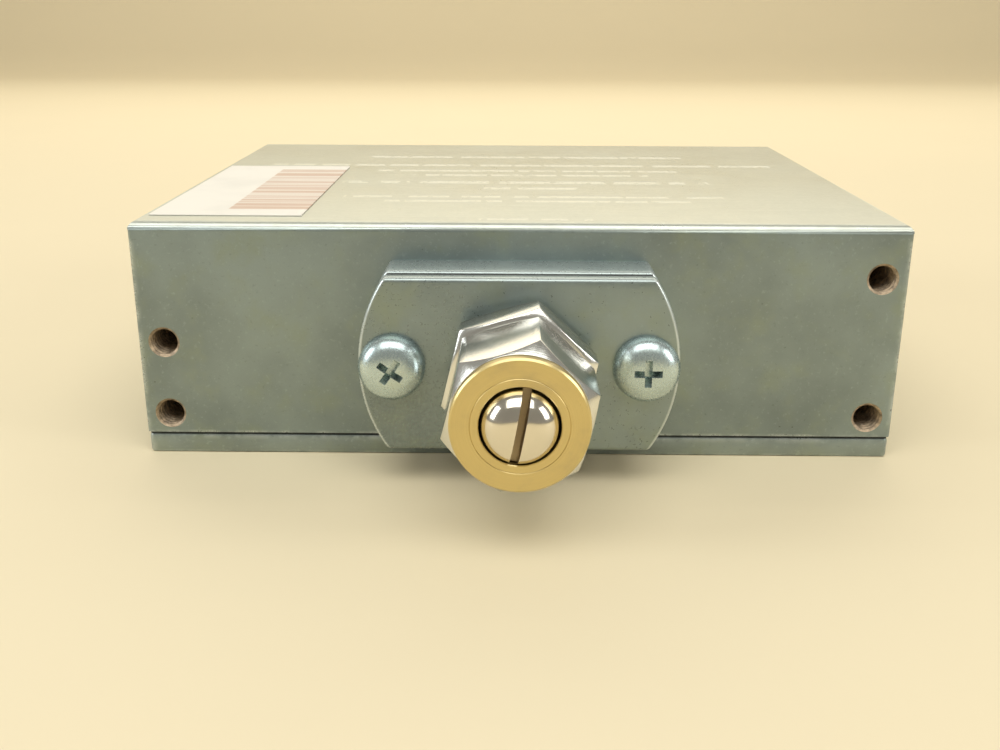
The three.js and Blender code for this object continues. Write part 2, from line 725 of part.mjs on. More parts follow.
function addFlange() {
  const { radius, halfHeight } = flange;
  add("flange_block", flangeLayer(radius, halfHeight, blockFront, frontFace), "platedSteel");
  const softSize = [radius - 0.25, halfHeight - 0.25];
  add("flange_gasket", flangeLayer(...softSize, gasketFront, blockFront), "blackRubber");
  add("flange_plate", flangeLayer(radius, halfHeight, plateFront, gasketFront), "platedSteel");
  for (const [place, side, turn] of [["left", -1, 35], ["right", 1, 0]]) {
    const shape = panScrew({ head: 3.9, rise: 2.6, shank: 1.95, length: 12, sides: 20 });
    const screw = add(`flange_screw_${place}`, shape, "zincScrew");
    screw.position.set(side * flange.screwX, plateFront - touch, axisZ);
    screw.rotation.set(Math.PI / 2, 0, THREE.MathUtils.degToRad(turn));
  }
}

function addPlungerHead() {
  const washer = turned(ring(tailRadius + 0.1, 6.6, washerFront, plateFront - touch));
  add("neck_washer", washer, "nickel");
  add("lock_nut", nutRing(nose.nutFlats, nutFront, washerFront - touch), "nickel");
  add("inner_nut", nutRing(15.8, frontInside + touch, frontInside + 3.5, { turn: 0 }), "innerSteel");
  add("plunger_head", plungerHead(), "nickel");
  add("guide_bush", guideBush(), "brass");
  add("wiper_ring", wiperRing(), "blackRubber");
}

function addPlunger() {
  add("plunger_tip", plungerTip(), "polishedTip");
  add("plunger_rod", plungerRod(), "innerSteel");
  add("rod_clip", rodClip(), "springSteel");
  add("return_spring", returnSpring(), "springSteel");
}

function addLever() {
  add("lever", lever(), "innerSteel");
  add("lever_pin", pivotPin(), "innerSteel");
  add("lever_clip", leverClip(), "springSteel");
}

function addSnapSwitches() {
  for (const [place, height] of Object.entries(switchHeights)) {
    const group = new THREE.Group();
    group.position.z = height;
    limitSwitch.add(group);
    add(`${place}_switch_case`, switchCase(), "phenolic", group);
    add(`${place}_switch_cover`, switchCover(), "phenolic", group);
    add(`${place}_switch_button`, switchButton(), "button", group);
    add(`${place}_switch_blade`, switchBlade(), "contactBrass", group);
    add(`${place}_common_terminal`, commonTerminal(), "contactBrass", group);
    add(`${place}_closed_terminal`, closedTerminal(), "contactBrass", group);
    add(`${place}_open_terminal`, openTerminal(), "contactBrass", group);
  }
  add("switch_insulator", insulator(), "fibre");
  const seat = switchHeights.lower - halfThick - touch;
  for (const [place, hole] of [["right", holeA], ["left", holeB]]) {
    const length = pilotTop - seat - 0.3;
    const shape = panScrew({ head: 2.7, rise: 1.5, shank: 1.4, length, kind: "slot" });
    const screw = add(`switch_screw_${place}`, shape, "innerSteel");
    screw.position.set(hole.x, hole.y, seat);
    screw.rotation.x = Math.PI;
  }
}

function addWiring() {
  add("terminal_block", terminalBlock(), "blockPlastic");
  terminalXs.forEach((x, i) => {
    const shape = panScrew({ head: 2.1, rise: 1.2, shank: 1.2, length: 4.5, kind: "slot" });
    const screw = add(`terminal_screw_${i + 1}`, shape, "innerSteel");
    screw.position.set(x, terminalY, terminals.bottom + 2.4 - touch);
    screw.rotation.x = Math.PI;
  });
  for (const [place, side] of [["left", -1], ["right", 1]]) {
    const length = pilotTop - terminals.bottom - 0.3;
    const shape = panScrew({ head: 2.7, rise: 1.5, shank: 1.4, length, kind: "slot" });
    const screw = add(`block_screw_${place}`, shape, "innerSteel");
    screw.position.set(side * blockScrewX, terminalY, terminals.bottom - touch);
    screw.rotation.x = Math.PI;
  }
  for (const [name, route] of Object.entries(leadRoutes)) add(name, lead(route), "leadSleeve");
}

function addGland() {
  add("gland_body", glandBody(), "nickel");
  add("gland_locknut", glandLocknut(), "nickel");
  add("gland_nut", glandNut(), "nickel");
  add("gland_seal", glandSeal(), "blackRubber");
}

addBox();
addFlange();
addPlungerHead();
addPlunger();
addLever();
addSnapSwitches();
addWiring();
addGland();

export default limitSwitch;
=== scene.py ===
"""Looks of a plunger-operated limit switch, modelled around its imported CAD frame.

Everything lies in the frame's own axes: +Z up, the plunger pointing along -Y, X across the box, and
the origin at the centre of the base plate's underside. Sizes in this file are written in millimetres
and turned into the frame's metres by MM.
"""

import json
import logging
import math
from dataclasses import dataclass
from enum import Enum
from typing import Callable, Optional, Sequence, Union

import bmesh
import bpy
from mathutils import Matrix, Vector

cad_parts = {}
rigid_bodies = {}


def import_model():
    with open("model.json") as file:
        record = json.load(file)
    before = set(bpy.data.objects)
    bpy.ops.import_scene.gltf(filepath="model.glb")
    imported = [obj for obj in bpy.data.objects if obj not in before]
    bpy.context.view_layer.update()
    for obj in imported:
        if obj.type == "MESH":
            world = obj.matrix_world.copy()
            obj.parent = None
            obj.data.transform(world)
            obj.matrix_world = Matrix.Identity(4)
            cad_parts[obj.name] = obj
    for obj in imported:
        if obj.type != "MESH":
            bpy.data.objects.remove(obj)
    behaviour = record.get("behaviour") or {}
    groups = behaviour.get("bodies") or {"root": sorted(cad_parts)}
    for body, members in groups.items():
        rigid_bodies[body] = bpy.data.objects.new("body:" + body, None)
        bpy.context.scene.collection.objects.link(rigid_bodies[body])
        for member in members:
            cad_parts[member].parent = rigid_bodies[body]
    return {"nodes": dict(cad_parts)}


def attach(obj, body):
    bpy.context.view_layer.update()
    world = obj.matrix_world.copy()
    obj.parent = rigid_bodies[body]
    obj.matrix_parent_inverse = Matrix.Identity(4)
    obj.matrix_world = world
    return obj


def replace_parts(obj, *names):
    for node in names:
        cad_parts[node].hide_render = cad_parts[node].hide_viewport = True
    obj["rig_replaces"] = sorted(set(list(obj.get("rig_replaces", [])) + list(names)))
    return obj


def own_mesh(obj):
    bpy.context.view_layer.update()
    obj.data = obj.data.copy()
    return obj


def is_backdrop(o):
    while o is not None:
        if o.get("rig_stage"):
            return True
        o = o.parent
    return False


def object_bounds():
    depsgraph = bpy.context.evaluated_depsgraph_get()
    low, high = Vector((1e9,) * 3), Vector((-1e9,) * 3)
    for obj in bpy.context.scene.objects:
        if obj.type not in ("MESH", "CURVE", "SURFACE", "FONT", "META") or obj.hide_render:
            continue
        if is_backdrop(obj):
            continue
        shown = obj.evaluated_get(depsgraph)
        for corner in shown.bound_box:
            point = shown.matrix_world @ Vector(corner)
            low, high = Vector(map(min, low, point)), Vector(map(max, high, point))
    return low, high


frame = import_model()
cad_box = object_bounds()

logging.basicConfig(level=logging.INFO, format="%(message)s")
log = logging.getLogger("limit_switch")

MM = 0.001
AXIS_Z = 15.0  # height of the plunger and of the cable entry, in millimetres
Colour = tuple[float, float, float]
Number = Union[float, "Value"]


# ---- Shader maths --------------------------------------------------------------------------------


class Value:
    """A socket of a shader tree that Python arithmetic works on."""

    def __init__(self, shader: "Shader", socket: bpy.types.NodeSocket) -> None:
        """Wraps one output socket.

        Args:
            shader: the tree that the socket belongs to.
            socket: the output socket.
        """
        self.shader = shader
        self.socket = socket

    def _math(self, operation: str, *operands: Number) -> "Value":
        """Adds one Math node over the operands."""
        inputs = dict(enumerate(operands))
        return self.shader.node("ShaderNodeMath", {"operation": operation}, inputs)

    def __add__(self, other: Number) -> "Value":
        """self + other."""
        return self._math("ADD", self, other)

    def __radd__(self, other: Number) -> "Value":
        """other + self."""
        return self._math("ADD", other, self)

    def __sub__(self, other: Number) -> "Value":
        """self - other."""
        return self._math("SUBTRACT", self, other)

    def __mul__(self, other: Number) -> "Value":
        """self * other."""
        return self._math("MULTIPLY", self, other)

    def __truediv__(self, other: Number) -> "Value":
        """self / other."""
        return self._math("DIVIDE", self, other)

    def __pow__(self, other: Number) -> "Value":
        """self to the power of other."""
        return self._math("POWER", self, other)

    def __abs__(self) -> "Value":
        """The size of self without its sign."""
        return self._math("ABSOLUTE", self)

    def least(self, other: Number) -> "Value":
        """The smaller of the two."""
        return self._math("MINIMUM", self, other)

    def most(self, other: Number) -> "Value":
        """The larger of the two."""
        return self._math("MAXIMUM", self, other)

    def step(self, low: float, high: float) -> "Value":
        """A smooth step from 0 at low to 1 at high; it falls instead where low is above high.

        Args:
            low: the value that gives 0.
            high: the value that gives 1.

        Returns:
            The stepped value, from 0 to 1.
        """
        rising = low < high
        settings = {"interpolation_type": "SMOOTHSTEP", "clamp": True}
        limits = (low, high, 0.0, 1.0) if rising else (high, low, 1.0, 0.0)
        inputs = {0: self, 1: limits[0], 2: limits[1], 3: limits[2], 4: limits[3]}
        return self.shader.node("ShaderNodeMapRange", settings, inputs)


class Shader:
    """One material's node tree, built around a Principled shader."""

    def __init__(self, name: str) -> None:
        """Starts an empty node tree.

        Args:
            name: the material's name.
        """
        self.material = bpy.data.materials.new(name)
        self.material.use_nodes = True
        self.tree = self.material.node_tree
        self.tree.nodes.clear()

    def node(
        self,
        kind: str,
        settings: Optional[dict[str, object]] = None,
        inputs: Optional[dict[Union[int, str], object]] = None,
        output: Union[int, str] = 0,
    ) -> Value:
        """Adds any node.

        Args:
            kind: the node's type.
            settings: its own properties, or a colour ramp's stops, set before its sockets.
            inputs: a number, colour or linked Value for each named or numbered input.
            output: the output socket that is wanted.

        Returns:
            The wanted output.
        """
        made = self.tree.nodes.new(kind)
        for key, setting in (settings or {}).items():
            setattr(made, key, setting)
        for key, given in (inputs or {}).items():
            if isinstance(given, Value):
                self.tree.links.new(given.socket, made.inputs[key])
            else:
                made.inputs[key].default_value = given
        return Value(self, made.outputs[output])

    def place(self) -> Value:
        """The point on the piece, in metres in the frame's axes."""
        return self.node("ShaderNodeTexCoord", output="Object")

    def split(self, vector: Value) -> tuple[Value, Value, Value]:
        """The three parts of a vector."""
        first = self.node("ShaderNodeSeparateXYZ", inputs={0: vector})
        outputs = first.socket.node.outputs
        return first, Value(self, outputs[1]), Value(self, outputs[2])

    def vector(self, x: Number, y: Number, z: Number) -> Value:
        """A vector of three numbers or values."""
        return self.node("ShaderNodeCombineXYZ", inputs={0: x, 1: y, 2: z})

    def noise(self, at: Value, size: float, detail: float = 3.0, roughness: float = 0.55) -> Value:
        """Soft noise around 0.5.

        Args:
            at: the point that it is read at, in metres.
            size: the width of its largest features, in millimetres.
            detail: how many finer layers it has.
            roughness: how strong those layers are.

        Returns:
            The noise's value.
        """
        inputs = {"Vector": at, "Scale": 1 / (size * MM), "Detail": detail, "Roughness": roughness}
        return self.node("ShaderNodeTexNoise", inputs=inputs)

    def stretched(self, at: Value, scale: tuple[float, float, float]) -> Value:
        """A point with each axis scaled, so that noise read at it is drawn out."""
        return self.node("ShaderNodeMapping", inputs={"Vector": at, "Scale": scale})

    def blend(self, first: Union[Colour, Value], second: Union[Colour, Value], share: Number) -> Value:
        """A colour between two others.

        Args:
            first: the colour at share 0.
            second: the colour at share 1.
            share: how much of the second there is.

        Returns:
            The blended colour.
        """
        settings = {"data_type": "RGBA", "clamp_factor": True}
        inputs = {0: share, 6: opaque(first), 7: opaque(second)}
        return self.node("ShaderNodeMix", settings, inputs, output=2)

    def bump(self, height: Value, depth: float, normal: Optional[Value] = None) -> Value:
        """A normal from a height between 0 and 1.

        Args:
            height: the height map.
            depth: how deep it is, in millimetres.
            normal: a normal that it adds to.

        Returns:
            The bumped normal.
        """
        inputs: dict[Union[int, str], object] = {"Height": height, "Distance": depth * MM}
        if normal is not None:
            inputs["Normal"] = normal
        return self.node("ShaderNodeBump", inputs=inputs)

    def surface(self, **sockets: object) -> bpy.types.Material:
        """Ends the tree in a Principled shader.

        Args:
            **sockets: values of its inputs, named with _ for a space.

        Returns:
            The finished material.
        """
        inputs: dict[Union[int, str], object] = {}
        for name, given in sockets.items():
            inputs[name.replace("_", " ")] = opaque(given) if name == "Base_Color" else given
        shaded = self.node("ShaderNodeBsdfPrincipled", inputs=inputs)
        end = self.tree.nodes.new("ShaderNodeOutputMaterial")
        self.tree.links.new(shaded.socket, end.inputs["Surface"])
        return self.material


def opaque(colour: object) -> object:
    """A colour with its alpha added; a linked value is left as it is."""
    return (*colour, 1.0) if isinstance(colour, tuple) and len(colour) == 3 else colour


def darker(colour: Colour, share: float) -> Colour:
    """A colour times a share, which may be above 1."""
    return tuple(min(1.0, part * share) for part in colour)


# ---- Finishes ------------------------------------------------------------------------------------


@dataclass(frozen=True)
class PrintRow:
    """One row of blank dashes printed on the lid, in millimetres."""

    y: float
    x0: float
    x1: float
    height: float = 1.5


@dataclass(frozen=True)
class Finish:
    """A surface finish, which makes its material once."""

    name: str
    colour: Colour
    roughness: float = 0.5

    def material(self) -> bpy.types.Material:
        """The finish's material, made at its first use."""
        return bpy.data.materials.get(self.name) or self.paint(Shader(self.name))

    def paint(self, shader: Shader) -> bpy.types.Material:
        """Builds the node tree; each finish has its own.

        Args:
            shader: the empty tree.

        Returns:
            The finished material.
        """
        raise NotImplementedError


@dataclass(frozen=True)
class PlatedSteel(Finish):
    """Satin blue-grey plate on steel finished by grinding: cloudy, finely speckled and worn along its edges,
    with painted highlights on its top and rim and yellowish patches of painted reflection.
    """

    edges: Optional[tuple[float, float, float, float]] = None  # half x, half y, low z and high z
    rows: tuple[PrintRow, ...] = ()
    ink: Colour = (0.9, 0.88, 0.76)
    metallic: float = 0.68
    # the colour of the painted highlight on the top
    highlight_colour: Colour = (0.56, 0.58, 0.5)
    highlight_from: Optional[float] = None  # the height above which the surface gets a painted highlight
    rim: Optional[float] = None  # the radius about the plunger axis from which the edge gets a painted highlight

    def _edge_wear(self, shader: Shader, at: Value) -> Value:
        """How close a point lies to an edge of the box, from 0 to 1."""
        half_x, half_y, low, high = self.edges
        x, y, z = shader.split(at)
        reach = 0.9
        near_x = abs(x / MM).step(half_x - reach, half_x)
        near_y = abs(y / MM).step(half_y - reach, half_y)
        near_z = (z / MM).step(high - reach, high).most((z / MM).step(low + reach * 0.5, low))
        pairs = near_x.least(near_y).most(near_y.least(near_z)).most(near_x.least(near_z))
        return pairs * shader.noise(at, 2.2, 4).step(0.35, 0.62)

    def _dashes(self, shader: Shader, at: Value) -> Value:
        """Where the rows of blank dashes are printed, from 0 to 1."""
        x, y, z = shader.split(at)
        x, y = x / MM, y / MM
        words = shader.noise(shader.vector(x * 0.36, y * 0.09, 0.0), 1000.0, 1.0).step(0.4, 0.44)
        found: Optional[Value] = None
        for row in self.rows:
            middle, half = (row.x0 + row.x1) / 2, (row.x1 - row.x0) / 2
            across = abs(y - row.y).step(row.height / 2 + 0.12, row.height / 2 - 0.12)
            along = abs(x - middle).step(half + 0.2, half - 0.2)
            found = across * along if found is None else found.most(across * along)
        on_lid = (z / MM).step(29.9, 29.97)
        worn = shader.noise(at, 0.8, 3).step(0.3, 0.5)
        return found * words * on_lid * worn

    def paint(self, shader: Shader) -> bpy.types.Material:
        """Cloudy plate with fine speckle, hairline scratches, light worn edges, yellowish patches of painted
        reflection and painted highlights on the top and rim.
        """
        at = shader.place()
        cloud = shader.noise(at, 21.0, 4, 0.6)
        patch = shader.noise(at, 5.0, 3, 0.6)
        speck = shader.noise(at, 0.55, 2, 0.7)
        scratch = shader.noise(shader.stretched(at, (0.05, 1.0, 1.0)), 0.5, 3, 0.65).step(0.68, 0.76)
        colour = shader.blend(darker(self.colour, 0.8), darker(self.colour, 1.15), cloud.step(0.3, 0.7))
        # Yellowish patches: a painted reflection of the yellow floor.
        yellow_reflection = (self.colour[0] * 1.12, self.colour[1] * 1.08, self.colour[2] * 0.8)
        colour = shader.blend(colour, yellow_reflection, patch.step(0.45, 0.8) * 0.55)
        colour = shader.blend(colour, darker(self.colour, 1.45), speck.step(0.56, 0.78) * 0.45)
        colour = shader.blend(colour, darker(self.colour, 0.55), speck.step(0.4, 0.24) * 0.3)
        # A painted highlight: from the given height up, the colour is lightened, with streaks, for the light
        # that the top and its rounded edge catch.
        if self.highlight_from is not None:
            height = shader.split(at)[2] / MM
            lighting = height.step(self.highlight_from, self.highlight_from + 0.8)
            highlight_streaks = shader.noise(shader.stretched(at, (0.08, 1.0, 1.0)), 0.9, 3, 0.6)
            share = highlight_streaks * 0.5 + patch * 0.5
            highlight_tone = shader.blend(darker(self.highlight_colour, 0.86), darker(self.highlight_colour, 1.1), share)
            colour = shader.blend(colour, highlight_tone, lighting)
        rough = self.roughness + (cloud - 0.5) * 0.16 + (speck - 0.5) * 0.22 - scratch * 0.08
        if self.edges is not None:
            wear = self._edge_wear(shader, at)
            colour = shader.blend(colour, (0.6, 0.65, 0.63), wear * 0.5)
            rough = rough - wear * 0.08
        # A painted highlight along the round rim, beyond the given radius about the plunger axis.
        if self.rim is not None:
            x, _, z = shader.split(at)
            up = z - AXIS_Z * MM
            rim_highlight = ((x * x + up * up) ** 0.5 / MM).step(self.rim, self.rim + 0.25)
            colour = shader.blend(colour, (0.66, 0.72, 0.7), rim_highlight * 0.75)
        if self.rows:
            ink = self._dashes(shader, at)
            colour = shader.blend(colour, self.ink, ink * 0.5)
            rough = rough + ink * 0.2
        relief = speck * 0.7 + patch * 0.3 - scratch * 0.25
        normal = shader.bump(relief, 0.016)
        return shader.surface(Base_Color=colour, Metallic=self.metallic, Roughness=rough, Normal=normal)


@dataclass(frozen=True)
class TurnedMetal(Finish):
    """Lathe-turned metal with fine rings about the plunger axis and slight tarnish."""

    lines: float = 0.12  # width of a tool mark, in millimetres
    depth: float = 0.006  # depth of a tool mark, in millimetres
    tarnish: Colour = (0.4, 0.33, 0.22)
    dirt: float = 0.25

    def paint(self, shader: Shader) -> bpy.types.Material:
        """Concentric tool marks over cloudy metal."""
        at = shader.place()
        x, y, z = shader.split(at)
        up = z - AXIS_Z * MM
        radius = (x * x + up * up) ** 0.5
        marks = shader.noise(shader.vector(radius, y, 0.0), self.lines, 2, 0.6)
        cloud = shader.noise(at, 4.5, 4, 0.6)
        fine = shader.noise(at, 0.35, 2)
        colour = shader.blend(darker(self.colour, 0.9), darker(self.colour, 1.1), marks)
        colour = shader.blend(colour, self.tarnish, cloud.step(0.5, 0.85) * self.dirt)
        rough = self.roughness + (marks - 0.5) * 0.14 + (cloud - 0.5) * 0.16 + (fine - 0.5) * 0.05
        normal = shader.bump(marks, self.depth)
        return shader.surface(Base_Color=colour, Metallic=1.0, Roughness=rough, Normal=normal)


@dataclass(frozen=True)
class PolishedSteel(Finish):
    """Polished hard steel with faint wipe marks."""

    def paint(self, shader: Shader) -> bpy.types.Material:
        """A near mirror, hazed in patches."""
        at = shader.place()
        haze = shader.noise(at, 1.6, 4, 0.6)
        wipe = shader.noise(shader.stretched(at, (1.0, 1.0, 0.15)), 0.22, 2)
        colour = shader.blend(darker(self.colour, 0.93), darker(self.colour, 1.05), haze)
        rough = self.roughness + haze.step(0.4, 0.8) * 0.06 + (wipe - 0.5) * 0.04
        normal = shader.bump(wipe, 0.0008)
        return shader.surface(Base_Color=colour, Metallic=1.0, Roughness=rough, Normal=normal)


@dataclass(frozen=True)
class ZincPlate(Finish):
    """Blue zinc plate on a formed screw or pressing, dulled in its hollows."""

    iridescence: Colour = (0.5, 0.52, 0.36)

    def paint(self, shader: Shader) -> bpy.types.Material:
        """Bluish plate with a drift of yellow and small pits."""
        at = shader.place()
        drift = shader.noise(at, 3.2, 3, 0.5)
        pits = shader.noise(at, 0.3, 3, 0.7)
        colour = shader.blend(darker(self.colour, 0.85), darker(self.colour, 1.15), drift)
        colour = shader.blend(colour, self.iridescence, drift.step(0.55, 0.8) * 0.35)
        colour = shader.blend(colour, darker(self.colour, 0.4), pits.step(0.38, 0.24) * 0.6)
        rough = self.roughness + (drift - 0.5) * 0.14 + (pits - 0.5) * 0.2
        normal = shader.bump(pits, 0.012)
        return shader.surface(Base_Color=colour, Metallic=0.85, Roughness=rough, Normal=normal)


@dataclass(frozen=True)
class OiledThread(Finish):
    """The brown, oily wall of a tapped hole."""

    def paint(self, shader: Shader) -> bpy.types.Material:
        """Brown metal, blotched with old oil."""
        at = shader.place()
        blotch = shader.noise(at, 0.9, 4, 0.65)
        colour = shader.blend(darker(self.colour, 0.45), darker(self.colour, 1.5), blotch.step(0.3, 0.72))
        rough = self.roughness + (blotch - 0.5) * 0.3
        normal = shader.bump(blotch, 0.02)
        return shader.surface(Base_Color=colour, Metallic=0.6, Roughness=rough, Normal=normal)


@dataclass(frozen=True)
class Moulding(Finish):
    """Moulded plastic, rubber or fibre: grained, and dusty or shiny in patches."""

    grain: float = 0.4  # width of the grain, in millimetres
    depth: float = 0.015  # depth of the grain, in millimetres
    dust: Colour = (0.4, 0.38, 0.33)
    dusty: float = 0.15

    def paint(self, shader: Shader) -> bpy.types.Material:
        """Grained polymer with dust in its hollows."""
        at = shader.place()
        grain = shader.noise(at, self.grain, 3, 0.6)
        cloud = shader.noise(at, 6.0, 4, 0.6)
        colour = shader.blend(darker(self.colour, 0.8), darker(self.colour, 1.25), cloud)
        colour = shader.blend(colour, self.dust, (cloud * 0.5 + grain * 0.5).step(0.48, 0.75) * self.dusty)
        rough = self.roughness + (grain - 0.5) * 0.2 + (cloud - 0.5) * 0.12
        return shader.surface(Base_Color=colour, Roughness=rough, Normal=shader.bump(grain, self.depth))


@dataclass(frozen=True)
class LabelPaper(Finish):
    """A white paper label with a block of plain tinted bars and no lettering."""

    bars: Colour = (0.62, 0.42, 0.3)
    bars_from_x: float = -37.0  # the bars run from here to the label's right edge
    bars_y: tuple[float, float] = (-31.0, 4.0)

    def paint(self, shader: Shader) -> bpy.types.Material:
        """Paper fibres, with bars of uneven widths on the right."""
        at = shader.place()
        x, y, _ = shader.split(at)
        fibres = shader.noise(shader.stretched(at, (1.0, 0.4, 1.0)), 0.35, 3, 0.6)
        stain = shader.noise(at, 9.0, 3)
        widths = shader.noise(shader.vector(0.0, y, 0.0), 2.6, 2, 0.6).step(0.49, 0.52)
        low, high = self.bars_y
        block = (y / MM).step(low - 0.15, low + 0.15) * (y / MM).step(high + 0.15, high - 0.15)
        block = block * (x / MM).step(self.bars_from_x - 0.15, self.bars_from_x + 0.15)
        tint = block * (widths * 0.5 + 0.32)
        colour = shader.blend(self.colour, darker(self.colour, 0.93), stain.step(0.4, 0.8))
        colour = shader.blend(colour, self.bars, tint)
        rough = self.roughness + (fibres - 0.5) * 0.16
        return shader.surface(Base_Color=colour, Roughness=rough, Normal=shader.bump(fibres, 0.012))


@dataclass(frozen=True)
class StudioPaper(Finish):
    """The pale seamless paper that the switch stands on."""

    def paint(self, shader: Shader) -> bpy.types.Material:
        """Faintly mottled matt paper."""
        at = shader.place()
        mottle = shader.noise(at, 60.0, 3)
        colour = shader.blend(darker(self.colour, 0.985), darker(self.colour, 1.01), mottle)
        return shader.surface(Base_Color=colour, Roughness=self.roughness)


LID_ROWS = (
    PrintRow(21.0, -26.0, 28.0, 1.9),
    PrintRow(11.0, -40.0, 41.0, 1.9),
    PrintRow(4.8, -22.0, 25.0, 1.6),
    PrintRow(0.2, -16.0, 20.0, 1.6),
    PrintRow(-7.0, -26.0, 28.0, 2.2),
    PrintRow(-12.4, -5.0, 9.0, 1.7),
    PrintRow(-19.7, -24.0, 28.0, 1.4),
    PrintRow(-23.2, -18.0, 23.0, 1.4),
    PrintRow(-36.2, -5.0, 9.0, 1.3),
)
STEEL = (0.25, 0.3, 0.29)


class Looks(Enum):
    """The finishes of this switch."""

    # The lid and its rounded front edge carry a painted highlight from 28.9 mm up.
    BOX = PlatedSteel("box_plate_and_painted_highlight", STEEL, 0.34, (47.5, 39.0, 2.8, 30.0), LID_ROWS, highlight_from=28.9)
    BASE = PlatedSteel("base_plate_finish", (0.29, 0.34, 0.32), 0.38, edges=(47.1, 38.6, 0.0, 2.5))
    # The flange's top faces carry a painted highlight from 24.95 mm up, and its rim a second painted
    # highlight.
    FLANGE = PlatedSteel(
        "flange_plate_and_painted_highlights", STEEL, 0.3, highlight_colour=(0.62, 0.7, 0.68), highlight_from=24.95, rim=18.35
    )
    THREAD = OiledThread("tapped_hole_wall", (0.4, 0.31, 0.21), 0.5)
    SCREW = ZincPlate("screw_zinc", (0.52, 0.62, 0.62), 0.27)
    NICKEL = TurnedMetal("turned_nickel", (0.76, 0.76, 0.71), 0.2, tarnish=(0.5, 0.47, 0.38))
    BRASS = TurnedMetal("turned_brass", (0.67, 0.54, 0.25), 0.32, lines=0.16, depth=0.008, dirt=0.45)
    TIP = PolishedSteel("polished_tip_steel", (0.76, 0.71, 0.6), 0.12)
    # The slot's look: a rougher cut finish, darkened as painted shade in the slot.
    SLOT_SHADE = ZincPlate("slot_steel_painted_shade", (0.44, 0.35, 0.22), 0.42)
    RUBBER = Moulding("black_rubber_finish", (0.028, 0.03, 0.03), 0.62)
    PHENOLIC = Moulding("dark_phenolic", (0.045, 0.03, 0.022), 0.42)
    BUTTON = Moulding("red_button", (0.45, 0.04, 0.03), 0.38, grain=0.25, depth=0.006)
    BLOCK = Moulding("cream_block", (0.66, 0.62, 0.52), 0.36, dust=(0.4, 0.36, 0.28))
    SLEEVE = Moulding("lead_sleeve_finish", (0.05, 0.11, 0.3), 0.4, grain=0.3, depth=0.006)
    FIBRE = Moulding("fibre_sheet_finish", (0.28, 0.12, 0.055), 0.6, grain=0.9, depth=0.03)
    INNER = ZincPlate("inner_steel_plate", (0.6, 0.63, 0.64), 0.34)
    SPRING = ZincPlate("spring_wire", (0.46, 0.48, 0.5), 0.28)
    CONTACT = ZincPlate("stamped_brass", (0.68, 0.48, 0.2), 0.32, iridescence=(0.42, 0.24, 0.1))
    LABEL = LabelPaper("label_paper_finish", (0.86, 0.82, 0.73), 0.7)
    FLOOR = StudioPaper("studio_paper", (0.84, 0.73, 0.5), 0.75)

    def material(self) -> bpy.types.Material:
        """The look's material."""
        return self.value.material()


# ---- Mesh building -------------------------------------------------------------------------------


class Axis(Enum):
    """The direction that a turned shape's axis has."""

    Y = (0.0, 1.0, 0.0)
    Z = (0.0, 0.0, 1.0)


Ring = tuple[float, float]  # a radius and the place along the axis
ORDER = Vector((1.0, 97.3, 9413.7))  # direction that the parts of a cut mesh are sorted along
TRIES = 8  # how often a cut is tried
WELD = 1e-4  # points closer than this are merged, in millimetres
CUT_WELD = 2e-4  # the same after a cut
VOLUME_SLACK = 1e-3  # rounding allowed in a volume, in cubic millimetres


